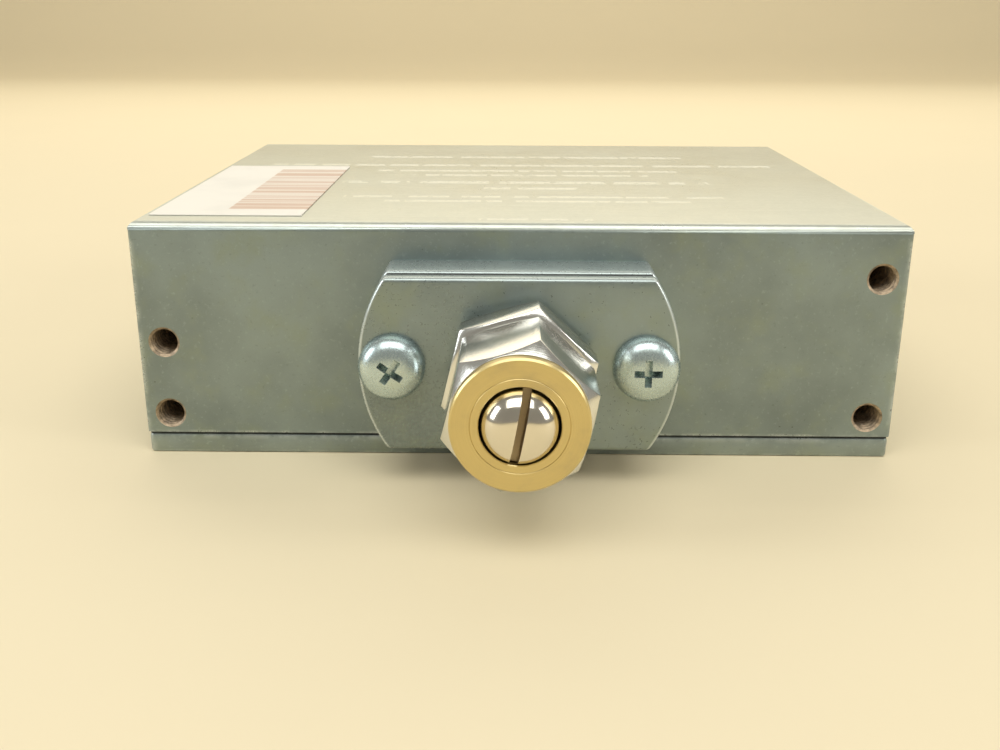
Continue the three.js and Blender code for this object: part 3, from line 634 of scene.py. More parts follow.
class Shape:
    """A mesh under construction, in millimetres in the frame's axes."""

    def __init__(self) -> None:
        """Starts an empty mesh."""
        self.bm = bmesh.new()

    # -- whole shapes --

    @classmethod
    def box(cls, x: tuple[float, float], y: tuple[float, float], z: tuple[float, float]) -> "Shape":
        """A box between limits on each axis."""
        shape = cls()
        bmesh.ops.create_cube(shape.bm, size=1.0)
        centre = Vector(((x[0] + x[1]) / 2, (y[0] + y[1]) / 2, (z[0] + z[1]) / 2))
        size = Vector((x[1] - x[0], y[1] - y[0], z[1] - z[0]))
        place = Matrix.Translation(centre) @ Matrix.Diagonal(size.to_4d())
        bmesh.ops.transform(shape.bm, matrix=place, verts=shape.bm.verts)
        return shape

    @classmethod
    def turned(
        cls,
        rings: Sequence[Ring],
        at: tuple[float, float] = (0.0, AXIS_Z),
        axis: Axis = Axis.Y,
        steps: int = 96,
    ) -> "Shape":
        """A lathe shape.

        Args:
            rings: the outline, ending on the axis or closing on itself.
            at: the axis's place: x and z for an axis along Y, x and y for one along Z.
            axis: the axis's direction.
            steps: how many sides a full turn has.

        Returns:
            The closed shape.
        """
        shape = cls()
        along_y = axis is Axis.Y
        centre = Vector((at[0], 0.0, at[1])) if along_y else Vector((at[0], at[1], 0.0))
        direction = Vector(axis.value)
        corners = [shape.bm.verts.new(centre + direction * y + Vector((r, 0.0, 0.0))) for r, y in rings]
        edges = [shape.bm.edges.new(pair) for pair in zip(corners, corners[1:])]
        if rings[0][0] > 0:
            edges.append(shape.bm.edges.new((corners[-1], corners[0])))
        bmesh.ops.spin(
            shape.bm,
            geom=corners + edges,
            cent=centre,
            axis=direction,
            angle=math.tau,
            steps=steps,
            use_merge=True,
        )
        return shape.healed()

    # -- changes --

    def healed(self) -> "Shape":
        """Merges doubles and turns every face outwards."""
        bmesh.ops.remove_doubles(self.bm, verts=self.bm.verts, dist=WELD)
        bmesh.ops.recalc_face_normals(self.bm, faces=self.bm.faces)
        return self

    def softened(
        self, width: float, segments: int = 3, over: float = 30.0, among: Optional[Callable] = None
    ) -> "Shape":
        """Rounds the edges that are sharper than an angle.

        Args:
            width: how far the rounding reaches from the edge.
            segments: how many faces cross it.
            over: the least angle between the faces of an edge, in degrees.
            among: a test that an edge must pass.

        Returns:
            The shape itself.
        """
        sharp = [
            edge
            for edge in self.bm.edges
            if len(edge.link_faces) == 2
            and edge.calc_face_angle(0.0) > math.radians(over)
            and (among is None or among(edge))
        ]
        bmesh.ops.bevel(
            self.bm,
            geom=sharp,
            offset=width,
            offset_type="OFFSET",
            affect="EDGES",
            segments=segments,
            profile=0.5,
            material=-1,
            clamp_overlap=True,
        )
        return self

    def carved(self, *others: "Shape") -> "Shape":
        """This shape with others cut out of it by exact boolean modifiers.

        A cut that comes out open, or larger than it can be, is made again.

        Args:
            *others: the shapes that are cut out, one after another; they are used up.

        Returns:
            The cut shape.
        """
        start = self.bm
        for _ in range(TRIES):
            self.bm = self._attempt(start, [other.bm for other in others])
            if self._sound(start):
                break
            self.bm.free()
        else:
            raise RuntimeError("the cut did not come out closed")
        for used in (start, *(other.bm for other in others)):
            used.free()
        return self

    @staticmethod
    def _attempt(start: bmesh.types.BMesh, tools: Sequence[bmesh.types.BMesh]) -> bmesh.types.BMesh:
        """Makes a cut once, with its parts sorted.

        Args:
            start: the shape that is cut.
            tools: the shapes that are cut out of it.

        Returns:
            The cut mesh.
        """
        owner = scratch(start)
        for tool in tools:
            modifier = owner.modifiers.new("cut", "BOOLEAN")
            modifier.operation = "DIFFERENCE"
            modifier.solver = "EXACT"
            modifier.object = scratch(tool)
        graph = bpy.context.evaluated_depsgraph_get()
        result = bpy.data.meshes.new_from_object(owner.evaluated_get(graph))
        for modifier in list(owner.modifiers):
            discard(modifier.object)
        discard(owner)
        made = bmesh.new()
        made.from_mesh(result)
        bpy.data.meshes.remove(result)
        bmesh.ops.remove_doubles(made, verts=made.verts, dist=CUT_WELD)
        bmesh.ops.dissolve_degenerate(made, dist=WELD, edges=made.edges)
        made.verts.sort(key=lambda vert: vert.co.dot(ORDER))
        made.edges.sort(key=lambda edge: (edge.verts[0].co + edge.verts[1].co).dot(ORDER))
        made.faces.sort(key=lambda face: face.calc_center_median().dot(ORDER))
        return made

    def _sound(self, start: bmesh.types.BMesh) -> bool:
        """Whether a cut is closed and no larger than its start."""
        closed = all(len(edge.link_faces) == 2 for edge in self.bm.edges)
        volume, before = self.bm.calc_volume(signed=True), start.calc_volume(signed=True)
        return closed and 0 < volume < before + VOLUME_SLACK

    # -- results --

    def painted(self, slot: int, test: Callable[[Vector], bool]) -> "Shape":
        """Gives a material slot to the faces whose centres pass a test."""
        for face in self.bm.faces:
            if test(face.calc_center_median()):
                face.material_index = slot
        return self

    def piece(self, name: str, looks: Sequence[Looks], smooth: float = 35.0) -> bpy.types.Object:
        """Finishes the shape as a piece of the scene.

        Args:
            name: the piece's name.
            looks: its looks, one for each material slot.
            smooth: the angle above which an edge stays sharp, in degrees.

        Returns:
            The finished object.
        """
        bmesh.ops.scale(self.bm, vec=(MM, MM, MM), verts=self.bm.verts)
        mesh = bpy.data.meshes.new(name)
        self.bm.to_mesh(mesh)
        self.bm.free()
        for look in looks:
            mesh.materials.append(look.material())
        mesh.shade_smooth()
        mesh.set_sharp_from_angle(angle=math.radians(smooth))
        made = bpy.data.objects.new(name, mesh)
        bpy.context.scene.collection.objects.link(made)
        return made


def scratch(bm: bmesh.types.BMesh) -> bpy.types.Object:
    """A copy of a mesh under construction as an object, for a modifier to use."""
    mesh = bpy.data.meshes.new("scratch")
    bm.to_mesh(mesh)
    made = bpy.data.objects.new("scratch", mesh)
    bpy.context.scene.collection.objects.link(made)
    return made


def discard(used: bpy.types.Object) -> None:
    """Removes a scratch object and its mesh."""
    mesh = used.data
    bpy.data.objects.remove(used)
    bpy.data.meshes.remove(mesh)


def rise(edge: bmesh.types.BMEdge) -> float:
    """How much higher one end of an edge is than the other."""
    return abs(edge.verts[0].co.z - edge.verts[1].co.z)


def disc(radius: float, start: float, end: float) -> list[Ring]:
    """The outline of a plain round bar."""
    return [(0.0, start), (radius, start), (radius, end), (0.0, end)]


def tube(bore: float, radius: float, start: float, end: float, edge: float = 0.15) -> list[Ring]:
    """The outline of a tube whose four edges are broken by small chamfers."""
    return [
        (bore + edge, start),
        (radius - edge, start),
        (radius, start + edge),
        (radius, end - edge),
        (radius - edge, end),
        (bore + edge, end),
        (bore, end - edge),
        (bore, start + edge),
    ]


@dataclass(frozen=True)
class Hexagon:
    """A hexagon along Y, with its corners turned off to a cone at both ends."""

    flats: float
    front: float
    back: float
    near: float  # how far the front cone reaches along a corner
    far: float  # how far the back cone does
    corner: float = 90.0  # angle of one corner, from +X towards +Z, in degrees
    face_inset: float = 0.15  # how much smaller than the flats the end faces are

    @property
    def reach(self) -> float:
        """The radius at the corners."""
        return self.flats / math.sqrt(3)

    @property
    def face(self) -> float:
        """The radius of the round end faces."""
        return self.flats / 2 - self.face_inset

    def rings(self) -> list[Ring]:
        """The outline of the blank, from its front face to its back face."""
        return [
            (self.face, self.front),
            (self.reach, self.front + self.near),
            (self.reach, self.back - self.far),
            (self.face, self.back),
        ]

    def mill(self, shape: Shape, edge: float = 0.1) -> Shape:
        """Mills the flats on a turned shape whose outline has these rings.

        Args:
            shape: the turned shape.
            edge: the rounding of the flats' edges.

        Returns:
            The shape, with the cones' arcs on every flat.
        """
        middle = (self.front + self.back) / 2
        for vert in shape.bm.verts:
            across, up = vert.co.x, vert.co.z - AXIS_Z
            if math.hypot(across, up) < self.reach - 0.01 or not self.front < vert.co.y < self.back:
                continue
            off = math.atan2(up, across) % (math.pi / 3) - math.pi / 6
            radius = self.flats / 2 / math.cos(off)
            share = (self.reach - radius) / (self.reach - self.face)
            vert.co.y += -self.near * share if vert.co.y < middle else self.far * share
            vert.co.x = across * radius / self.reach
            vert.co.z = AXIS_Z + up * radius / self.reach
        turn = Matrix.Rotation(-math.radians(self.corner), 3, "Y")
        bmesh.ops.rotate(shape.bm, cent=(0.0, 0.0, AXIS_Z), matrix=turn, verts=shape.bm.verts)
        least = self.face + 0.05

        def outer(side: bmesh.types.BMEdge) -> bool:
            """Whether an edge borders a flat."""
            ends = [vert.co for vert in side.verts]
            return all(math.hypot(p.x, p.z - AXIS_Z) > least and self.front < p.y < self.back for p in ends)

        return shape.softened(edge, 2, over=25.0, among=outer)


def thread(core: float, mouth: float, end: float, pitch: float = 0.7, cut: float = 0.3) -> list[Ring]:
    """The outline of a tapped hole along Y as a solid to cut with, mouth first.

    Args:
        core: the radius of the thread's crests.
        mouth: the y of the open end.
        end: the y of the closed end.
        pitch: the distance between threads.
        cut: how deep the thread is cut.

    Returns:
        The outline.
    """
    way = 1.0 if end > mouth else -1.0
    rings: list[Ring] = [(0.0, mouth - way), (core + cut, mouth - way), (core + cut, mouth)]
    turns = int(abs(end - mouth) / pitch) - 1
    for turn in range(turns):
        start = mouth + way * (0.25 + pitch * turn)
        rings += [(core, start), (core, start + way * 0.15), (core + cut, start + way * pitch * 0.6)]
    rings += [(core, end - way * 0.6), (0.0, end)]
    return rings


def cross(at: tuple[float, float], face: float, turn: float, reach: float, depth: float) -> list[Shape]:
    """Two tapered bars that cut a cross recess into a screw head which faces -Y.

    Args:
        at: the x and z of the screw's axis.
        face: the y of the head's highest point.
        turn: the recess's turn about the axis, in degrees.
        reach: the length of each bar from the axis.
        depth: how deep the recess is.

    Returns:
        The two bars.
    """
    bars = []
    for quarter in (0.0, 90.0):
        bar = Shape.box((-reach, reach), (-1.0, depth), (-0.48, 0.48))
        deep = [corner for corner in bar.bm.verts if corner.co.y > 0]
        bmesh.ops.scale(bar.bm, vec=(0.42, 1.0, 0.55), verts=deep)
        place = Matrix.Translation((at[0], face, at[1])) @ Matrix.Rotation(
            math.radians(turn + quarter), 4, "Y"
        )
        bmesh.ops.transform(bar.bm, matrix=place, verts=bar.bm.verts)
        bars.append(bar)
    return bars


# ---- Sub-assemblies ------------------------------------------------------------------------------


def place(piece: bpy.types.Object, body: str, slot: str, *nodes: str) -> None:
    """Fixes a finished piece to a body in place of CAD nodes.

    Args:
        piece: the finished piece.
        body: the CAD body that it moves with.
        slot: the record's material slot of the piece; not used.
        *nodes: the CAD nodes that it stands for.
    """
    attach(piece, body)
    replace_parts(piece, *nodes)
    log.info("%s: %d faces on %s", piece.name, len(piece.data.polygons), body)


@dataclass
class BoxShell:
    """The folded steel box with its base plate, gasket, base screws and paper label."""

    half_x: float = 47.5
    half_y: float = 39.0
    height: float = 30.0
    floor: float = 2.8  # where the box's walls start, above the base plate and its gasket
    edge: float = 1.15  # rounding along the lid
    corner: float = 0.4  # rounding of the upright corners
    wall: tuple[float, float, float] = (3.5, 4.0, 3.0)  # sides, ends and roof
    post_x: float = 40.75  # middle of the corner posts
    post_half: float = 4.25
    post_spans: tuple[Ring, ...] = ((-36.0, -22.0), (24.0, 36.0))
    roots: float = 28.0  # how far up posts, pads and boss run into the roof
    pivot: tuple[float, float] = (-18.5, -21.4)  # the lever pin's boss
    flange_screw_x: float = 14.8
    tapped: tuple[tuple[float, float], ...] = ((-44.3, 14.8), (-44.3, 5.4), (44.3, 23.4), (44.3, 5.4))
    pilots: tuple[tuple[float, float], ...] = ((9.1, -4.5), (-13.1, -14.8), (-19.0, 17.5), (19.0, 17.5))
    base_screws: tuple[tuple[float, float], ...] = (
        (-42.5, -26.0),
        (42.5, -26.0),
        (-42.5, 29.0),
        (42.5, 29.0),
    )

    def build(self) -> None:
        """Builds and places every piece of the box."""
        place(self._housing(), "body", "plated_steel", "housing")
        place(self._base_plate(), "body", "base_steel", "base_plate")
        place(self._gasket(), "body", "black_rubber", "base_gasket")
        place(self._label(), "body", "label_paper", "stock_label")
        names = ("front_left", "front_right", "rear_left", "rear_right")
        for name, at in zip(names, self.base_screws):
            node = f"base_screw_{name}"
            place(self._base_screw(node, at), "body", "zinc_screw", node)

    def _housing(self) -> bpy.types.Object:
        """The five-sided box, hollow, with its corner posts, pads and holes."""
        x, y = self.half_x, self.half_y
        box = Shape.box((-x, x), (-y, y), (self.floor, self.height))
        box.softened(self.edge, 5, among=lambda edge: min(v.co.z for v in edge.verts) > self.height - 1)
        box.softened(self.corner, 3, over=60.0, among=lambda edge: rise(edge) > 9)
        inner_x, inner_y, ceiling = x - self.wall[0], y - self.wall[1], self.height - self.wall[2]
        room = Shape.box((-inner_x, inner_x), (-inner_y, inner_y), (self.floor - 1, ceiling)).softened(0.6, 2)
        posts = [
            Shape.box((middle - self.post_half, middle + self.post_half), span, (self.floor - 2, self.roots))
            for middle in (-self.post_x, self.post_x)
            for span in self.post_spans
        ]
        pads = [Shape.turned(disc(3.6, 25.5, self.roots), at, Axis.Z, 48) for at in self.pilots]
        boss = Shape.turned(disc(3.4, 19.4, self.roots), self.pivot, Axis.Z, 48)
        room.carved(*posts, *pads, boss)
        drills = [Shape.turned(disc(1.5, 24.0, 29.0), at, Axis.Z, 32) for at in self.pilots]
        drills.append(Shape.turned(disc(1.5, 18.0, 29.0), self.pivot, Axis.Z, 32))
        drills += [Shape.turned(disc(1.2, 0.0, 12.0), at, Axis.Z, 32) for at in self.base_screws]
        drills += [Shape.turned(thread(1.65, -y, -y + 9.0), at, steps=40) for at in self.tapped]
        drills.append(Shape.turned(disc(5.1, -y - 1, -34.0), steps=72))
        screw_axes = [(sx * self.flange_screw_x, AXIS_Z) for sx in (-1, 1)]
        drills += [Shape.turned(disc(2.05, -y - 1, -34.0), at, steps=40) for at in screw_axes]
        drills.append(Shape.turned(disc(7.9, 34.0, y + 1), steps=72))
        box.carved(room, *drills)

        def in_tapped_hole(point: Vector) -> bool:
            """Whether a face is on the wall of one of the four tapped holes."""
            near = any(math.hypot(point.x - hx, point.z - hz) < 2.1 for hx, hz in self.tapped)
            return near and -y + 0.02 < point.y < -y + 9.5

        box.painted(1, in_tapped_hole)
        return box.piece("housing_plated", (Looks.BOX, Looks.THREAD))

    def _base_plate(self) -> bpy.types.Object:
        """The loose plate under the box, countersunk for its four screws."""
        x, y = self.half_x - 0.1, self.half_y - 0.1
        plate = Shape.box((-x, x), (-y, y), (0.0, 2.5))
        upright = [edge for edge in plate.bm.edges if rise(edge) > 1]
        bmesh.ops.bevel(
            plate.bm, geom=upright, offset=0.6, affect="EDGES", segments=5, profile=0.5, material=-1
        )
        plate.softened(0.3, 2, over=60.0)
        sink = [(0.0, -1.0), (3.1, -1.0), (3.1, 0.15), (1.7, 1.75), (1.7, 3.5), (0.0, 3.5)]
        sinks = [Shape.turned(sink, at, Axis.Z, 48) for at in self.base_screws]
        return plate.carved(*sinks).piece("base_plate_steel", (Looks.BASE,))

    def _gasket(self) -> bpy.types.Object:
        """The thin sheet between the plate and the box."""
        x, y = self.half_x - 0.3, self.half_y - 0.3
        sheet = Shape.box((-x, x), (-y, y), (2.5, self.floor))
        window = Shape.box((-36.5, 36.5), (-34.0, 34.0), (2.0, 4.0)).softened(1.5, 4)
        holes = [Shape.turned(disc(1.7, 2.0, 4.0), at, Axis.Z, 32) for at in self.base_screws]
        sheet.carved(window, *holes).softened(0.05, 1, over=60.0)
        return sheet.piece("base_gasket_sheet", (Looks.RUBBER,))

    def _base_screw(self, name: str, at: tuple[float, float]) -> bpy.types.Object:
        """A countersunk screw whose cross recess faces down.

        Args:
            name: the screw's name.
            at: the x and y of its axis.

        Returns:
            The screw.
        """
        top = 0.1
        rings = [(0.0, top), (2.65, top), (2.8, top + 0.15), (1.4, top + 1.65)]
        rings += [(1.4, 8.4), (0.8, 9.0), (0.0, 9.0)]
        screw = Shape.turned(rings, (0.0, 0.0), Axis.Z, 64)
        for bar in cross((0.0, 0.0), 0.0, 20.0, 1.7, 1.6):
            upward = Matrix.Rotation(math.pi / 2, 3, "X")
            bmesh.ops.rotate(bar.bm, cent=(0, 0, 0), matrix=upward, verts=bar.bm.verts)
            screw.carved(bar)
        bmesh.ops.translate(screw.bm, vec=(at[0], at[1], 0.0), verts=screw.bm.verts)
        return screw.piece(f"{name}_zinc", (Looks.SCREW,))

    def _label(self) -> bpy.types.Object:
        """The paper label, lying just above the lid."""
        sheet = Shape.box((-46.0, -27.0), (-35.0, 8.0), (30.02, 30.17))
        sheet.softened(0.04, 1, over=60.0)
        return sheet.piece("stock_label_paper", (Looks.LABEL,))


@dataclass
class FlangeStack:
    """The two flange layers with the gasket between them and their two screws."""

    radius: float = 18.8
    half_height: float = 10.5
    hole: float = 5.1
    screw_x: float = 14.8
    screw_turns: tuple[float, float] = (35.0, 0.0)
    seat: float = -48.42

    def build(self) -> None:
        """Builds and places the stack."""
        layers = (
            ("flange_block", -44.9, -39.0, 0.0, 0.4, Looks.FLANGE, "plated_steel"),
            ("flange_gasket", -46.3, -44.9, 0.25, 0.08, Looks.RUBBER, "black_rubber"),
            ("flange_plate", -48.4, -46.3, 0.0, 0.45, Looks.FLANGE, "plated_steel"),
        )
        for node, front, back, inset, edge, look, slot in layers:
            layer = self._layer(front, back, inset, edge).piece(f"{node}_layer", (look,))
            place(layer, "body", slot, node)
        for side, turn in zip((-1, 1), self.screw_turns):
            node = "flange_screw_left" if side < 0 else "flange_screw_right"
            place(self._screw(node, side * self.screw_x, turn), "body", "zinc_screw", node)

    def _layer(self, front: float, back: float, inset: float, edge: float) -> Shape:
        """One round layer, cut flat above and below.

        Args:
            front: its front y.
            back: its back y.
            inset: how much smaller it is all round.
            edge: the rounding of its edges.

        Returns:
            The layer.
        """
        half = self.half_height - inset
        layer = Shape.turned(disc(self.radius - inset, front, back), steps=144)
        for sign in (-1, 1):
            cut = bmesh.ops.bisect_plane(
                layer.bm,
                geom=layer.bm.verts[:] + layer.bm.edges[:] + layer.bm.faces[:],
                plane_co=(0.0, 0.0, AXIS_Z + sign * half),
                plane_no=(0.0, 0.0, sign),
                clear_outer=True,
            )
            rim = [part for part in cut["geom_cut"] if isinstance(part, bmesh.types.BMEdge)]
            bmesh.ops.edgeloop_fill(layer.bm, edges=rim)
        bmesh.ops.dissolve_limit(
            layer.bm,
            angle_limit=math.radians(0.5),
            verts=layer.bm.verts[:],
            edges=layer.bm.edges[:],
        )
        layer.healed().softened(edge, 4, over=20.0)
        holes = [Shape.turned(disc(self.hole, front - 1, back + 1), steps=72)]
        holes += [
            Shape.turned(disc(2.15, front - 1, back + 1), (sx * self.screw_x, AXIS_Z), steps=40)
            for sx in (-1, 1)
        ]
        return layer.carved(*holes)

    def _screw(self, name: str, x: float, turn: float) -> bpy.types.Object:
        """A pan-head screw with a cross recess.

        Args:
            name: the screw's name.
            x: the x of its axis.
            turn: the recess's turn, in degrees.

        Returns:
            The screw.
        """
        head, shank = 3.9, 1.95
        crown = self.seat - 2.6
        rings = [(0.0, crown), (0.8, crown + 0.01), (1.7, crown + 0.1), (2.5, crown + 0.31)]
        rings += [(3.1, crown + 0.64), (3.52, crown + 1.05), (3.78, crown + 1.5), (head, crown + 2.0)]
        rings += [(head, self.seat - 0.15), (head - 0.15, self.seat), (shank, self.seat)]
        rings += [(shank, self.seat + 11.4), (shank - 0.5, self.seat + 12), (0.0, self.seat + 12)]
        screw = Shape.turned(rings, (x, AXIS_Z), steps=96)
        screw.carved(*cross((x, AXIS_Z), crown, turn, 2.05, 1.9))
        return screw.piece(f"{name}_zinc", (Looks.SCREW,))


@dataclass
class PlungerHead:
    """The washer, nuts and head in nickel, the brass bush in the head and the seal ring in the bush."""

    corner: float = 76.5  # angle of the head's top corner, from +X towards +Z

    def build(self) -> None:
        """Builds and places the pieces that hold the plunger."""
        washer = Shape.turned(tube(5.1, 6.6, -50.9, -48.42, 0.25), steps=96)
        place(washer.piece("neck_washer_turned", (Looks.NICKEL,)), "body", "nickel", "neck_washer")
        nuts = (("lock_nut", -55.6, -50.92, self.corner), ("inner_nut", -34.98, -31.5, 90.0))
        for node, front, back, corner in nuts:
            hexagon = Hexagon(15.8, front, back, 0.75, 0.75, corner)
            bore = [(5.36, back), (5.06, back - 0.3), (5.06, front + 0.3), (5.36, front)]
            nut = hexagon.mill(Shape.turned([*hexagon.rings(), *bore]))
            place(nut.piece(f"{node}_hex", (Looks.NICKEL,)), "body", "nickel", node)
        place(self._head(), "body", "nickel", "plunger_head")
        place(self._bush(), "body", "bush_brass", "guide_bush")
        seal = Shape.turned(tube(4.15, 4.85, -65.05, -63.95, 0.2), steps=72)
        place(seal.piece("wiper_ring_rubber", (Looks.RUBBER,)), "body", "black_rubber", "wiper_ring")

    def _head(self) -> bpy.types.Object:
        """The hexagonal head with its tail, bored for the bush, the spring and the rod."""
        hexagon = Hexagon(14.8, -66.5, -55.9, 1.5, 0.5, self.corner)
        tail = [(5.0, -55.9), (5.0, -31.3), (4.7, -31.0), (2.1, -31.0)]
        bores = [(2.1, -47.0), (3.8, -47.0), (3.8, -57.9), (5.6, -57.9), (5.6, -66.5)]
        head = hexagon.mill(Shape.turned([*hexagon.rings(), *tail, *bores]))
        return head.piece("plunger_head_hex", (Looks.NICKEL,))

    def _bush(self) -> bpy.types.Object:
        """The turned brass bush, with a fine groove round its face."""
        rings = [(4.3, -67.7), (5.03, -67.7), (5.08, -67.66), (5.13, -67.7), (7.0, -67.7), (7.2, -67.5)]
        rings += [(7.2, -66.52), (5.5, -66.52), (5.5, -58.0), (4.2, -58.0), (4.2, -63.9), (4.9, -63.9)]
        rings += [(4.9, -65.1), (4.2, -65.1), (4.2, -67.6)]
        return Shape.turned(rings, steps=128).piece("guide_bush_brass", (Looks.BRASS,))


@dataclass
class PlungerTip:
    """The domed tip with its screwdriver slot."""

    apex: float = -69.9
    base: float = -66.3
    radius: float = 4.1
    slot_width: float = 0.9
    slot_depth: float = 3.1
    lean: float = 10.0  # of the slot's top towards +X, in degrees
    fullness: float = 2.5  # 2 gives an ellipse; more fills out the dome's shoulder

    def build(self) -> None:
        """Builds and places the tip."""
        rise = self.base - self.apex
        steps, power = 18, 2 / self.fullness
        dome = [
            (self.radius * math.sin(turn) ** power, self.base - rise * math.cos(turn) ** power)
            for turn in (math.pi / 2 * (step / steps) ** 1.3 for step in range(steps))
        ]
        dome.append((self.radius, self.base))
        rings = [(0.0, self.apex), *dome[1:], (self.radius, -62.05), (self.radius - 0.25, -61.8)]
        rings += [(1.4, -61.8), (1.4, -57.3), (1.1, -57.0), (0.0, -57.0)]
        tip = Shape.turned(rings, steps=128)
        half = self.slot_width / 2
        saw = Shape.box((-half, half), (self.apex - 1, self.apex + self.slot_depth), (-6.0, 6.0))
        turn = Matrix.Translation((0.0, 0.0, AXIS_Z)) @ Matrix.Rotation(math.radians(self.lean), 4, "Y")
        bmesh.ops.transform(saw.bm, matrix=turn, verts=saw.bm.verts)
        tip.carved(saw)
        tip.softened(0.09, 2, over=50.0, among=self._on_slot)
        way = Vector((math.cos(math.radians(self.lean)), 0.0, -math.sin(math.radians(self.lean))))

        def in_slot(point: Vector) -> bool:
            """Whether a face is a wall or the floor of the slot."""
            across = abs((point - Vector((0.0, 0.0, AXIS_Z))).dot(way))
            return across < half + 0.01 and point.y < self.apex + self.slot_depth + 0.01

        # The slot's walls and floor take the darker slot look, which is painted shade in the slot.
        tip.painted(1, in_slot)
        piece = tip.piece("plunger_tip_dome", (Looks.TIP, Looks.SLOT_SHADE), smooth=40.0)
        place(piece, "tip", "polished_tip", "plunger_tip")

    def _on_slot(self, edge: bmesh.types.BMEdge) -> bool:
        """Whether an edge is the slot's upper edge on the dome."""
        floor = self.apex + self.slot_depth
        return all(v.co.y < floor - 0.05 for v in edge.verts)


@dataclass
class CableGland:
    """The nickel cable gland in the rear wall."""

    def build(self) -> None:
        """Builds and places the gland's four pieces."""
        place(self._body(), "body", "nickel", "gland_body")
        place(self._locknut(), "body", "nickel", "gland_locknut")
        place(self._nut(), "body", "nickel", "gland_nut")
        seal = Shape.turned(tube(3.95, 7.0, 49.1, 51.2, 0.3), steps=72)
        place(seal.piece("gland_seal_rubber", (Looks.RUBBER,)), "body", "black_rubber", "gland_seal")

    def _body(self) -> bpy.types.Object:
        """The body: a hexagon against the wall, a tail inside and a stub outside."""
        hexagon = Hexagon(20.0, 39.02, 43.0, 0.9, 0.9, 60.0)
        tail = [(4.2, 29.5), (7.5, 29.5), (7.8, 29.8), (7.8, 39.02)]
        stub = [(7.5, 43.0), (7.5, 48.7), (7.2, 49.0), (4.2, 49.0)]
        body = hexagon.mill(Shape.turned([*tail, *hexagon.rings(), *stub]))
        return body.piece("gland_body_hex", (Looks.NICKEL,))

    def _locknut(self) -> bpy.types.Object:
        """The nut inside the wall."""
        hexagon = Hexagon(21.0, 32.18, 34.98, 0.7, 0.7, 60.0)
        nut = hexagon.mill(Shape.turned([(7.86, 32.18), *hexagon.rings(), (7.86, 34.98)]))
        return nut.piece("gland_locknut_hex", (Looks.NICKEL,))

    def _nut(self) -> bpy.types.Object:
        """The domed nut that squeezes the seal."""
        hexagon = Hexagon(19.0, 43.3, 48.3, 0.9, 0.9, 60.0)
        dome = [(9.3, 48.3), (9.28, 49.0), (9.1, 50.3), (8.6, 51.7), (7.8, 52.9), (6.9, 53.75), (6.4, 54.0)]
        bore = [(4.7, 54.0), (4.2, 53.5), (4.2, 52.9), (7.6, 51.4), (7.6, 43.3)]
        nut = hexagon.mill(Shape.turned([*hexagon.rings(), *dome, *bore]))
        return nut.piece("gland_nut_dome", (Looks.NICKEL,))


@dataclass
class ReturnSpring:
    """The coil inside the head that pushes the plunger out and shortens as it goes in."""

    radius: float = 3.1
    wire: float = 0.35
    turns: float = 5.0
    start: float = -60.05  # the wire's middle at the plunger's end
    end: float = -47.45  # the wire's middle at the end that stays
    seat: float = -47.0  # where the head's bore holds the coil
    collar: float = -60.5  # the plunger's collar at rest
    travel: float = 2.2
    steps: int = 32  # steps in a turn
    sides: int = 10

    def build(self) -> None:
        """Winds the wire, places the coil and gives it a mesh of its own."""
        shape = Shape()
        count = round(self.steps * self.turns)
        rings = [self._ring(shape, step / count) for step in range(count + 1)]
        for one, other in zip(rings, rings[1:]):
            for side in range(self.sides):
                after = (side + 1) % self.sides
                shape.bm.faces.new((one[side], one[after], other[after], other[side]))
        shape.bm.faces.new(rings[0])
        shape.bm.faces.new(rings[-1])
        coil = shape.healed().piece("return_spring_coil", (Looks.SPRING,))
        place(coil, "body", "spring_steel", "return_spring")
        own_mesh(coil)

    def _ring(self, shape: Shape, share: float) -> list[bmesh.types.BMVert]:
        """One cross-section of the wire, a share of the way along the coil."""
        turn = share * self.turns * math.tau
        out = Vector((math.cos(turn), 0.0, math.sin(turn)))
        middle = Vector((0.0, self.start + (self.end - self.start) * share, AXIS_Z)) + out * self.radius
        angles = [math.tau * side / self.sides for side in range(self.sides)]
        return [
            shape.bm.verts.new(middle + (out * math.cos(a) + Vector(Axis.Y.value) * math.sin(a)) * self.wire)
            for a in angles
        ]


@dataclass
class InnerWorks:
    """The CAD pieces inside the box, which keep their shapes and get their finishes."""

    looks: tuple[tuple[str, Looks], ...] = (
        ("lead", Looks.SLEEVE),
        ("insulator", Looks.FIBRE),
        ("terminal_block", Looks.BLOCK),
        ("spring", Looks.SPRING),
        ("clip", Looks.SPRING),
        ("button", Looks.BUTTON),
        ("blade", Looks.CONTACT),
        ("common", Looks.CONTACT),
        ("closed", Looks.CONTACT),
        ("open", Looks.CONTACT),
        ("case", Looks.PHENOLIC),
        ("cover", Looks.PHENOLIC),
    )
    else_look: Looks = Looks.INNER

    def build(self) -> None:
        """Dresses every CAD piece that is still shown."""
        replaced = {node for piece in bpy.data.objects for node in piece.get("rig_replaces", ())}
        for name, node in frame["nodes"].items():
            if name in replaced:
                continue
            look = next((look for word, look in self.looks if word in name), self.else_look)
            for slot in node.material_slots:
                slot.material = look.material()
            if not node.material_slots:
                node.data.materials.append(look.material())
            log.info("%s: %s", name, look.value.name)


# ---- Studio --------------------------------------------------------------------------------------


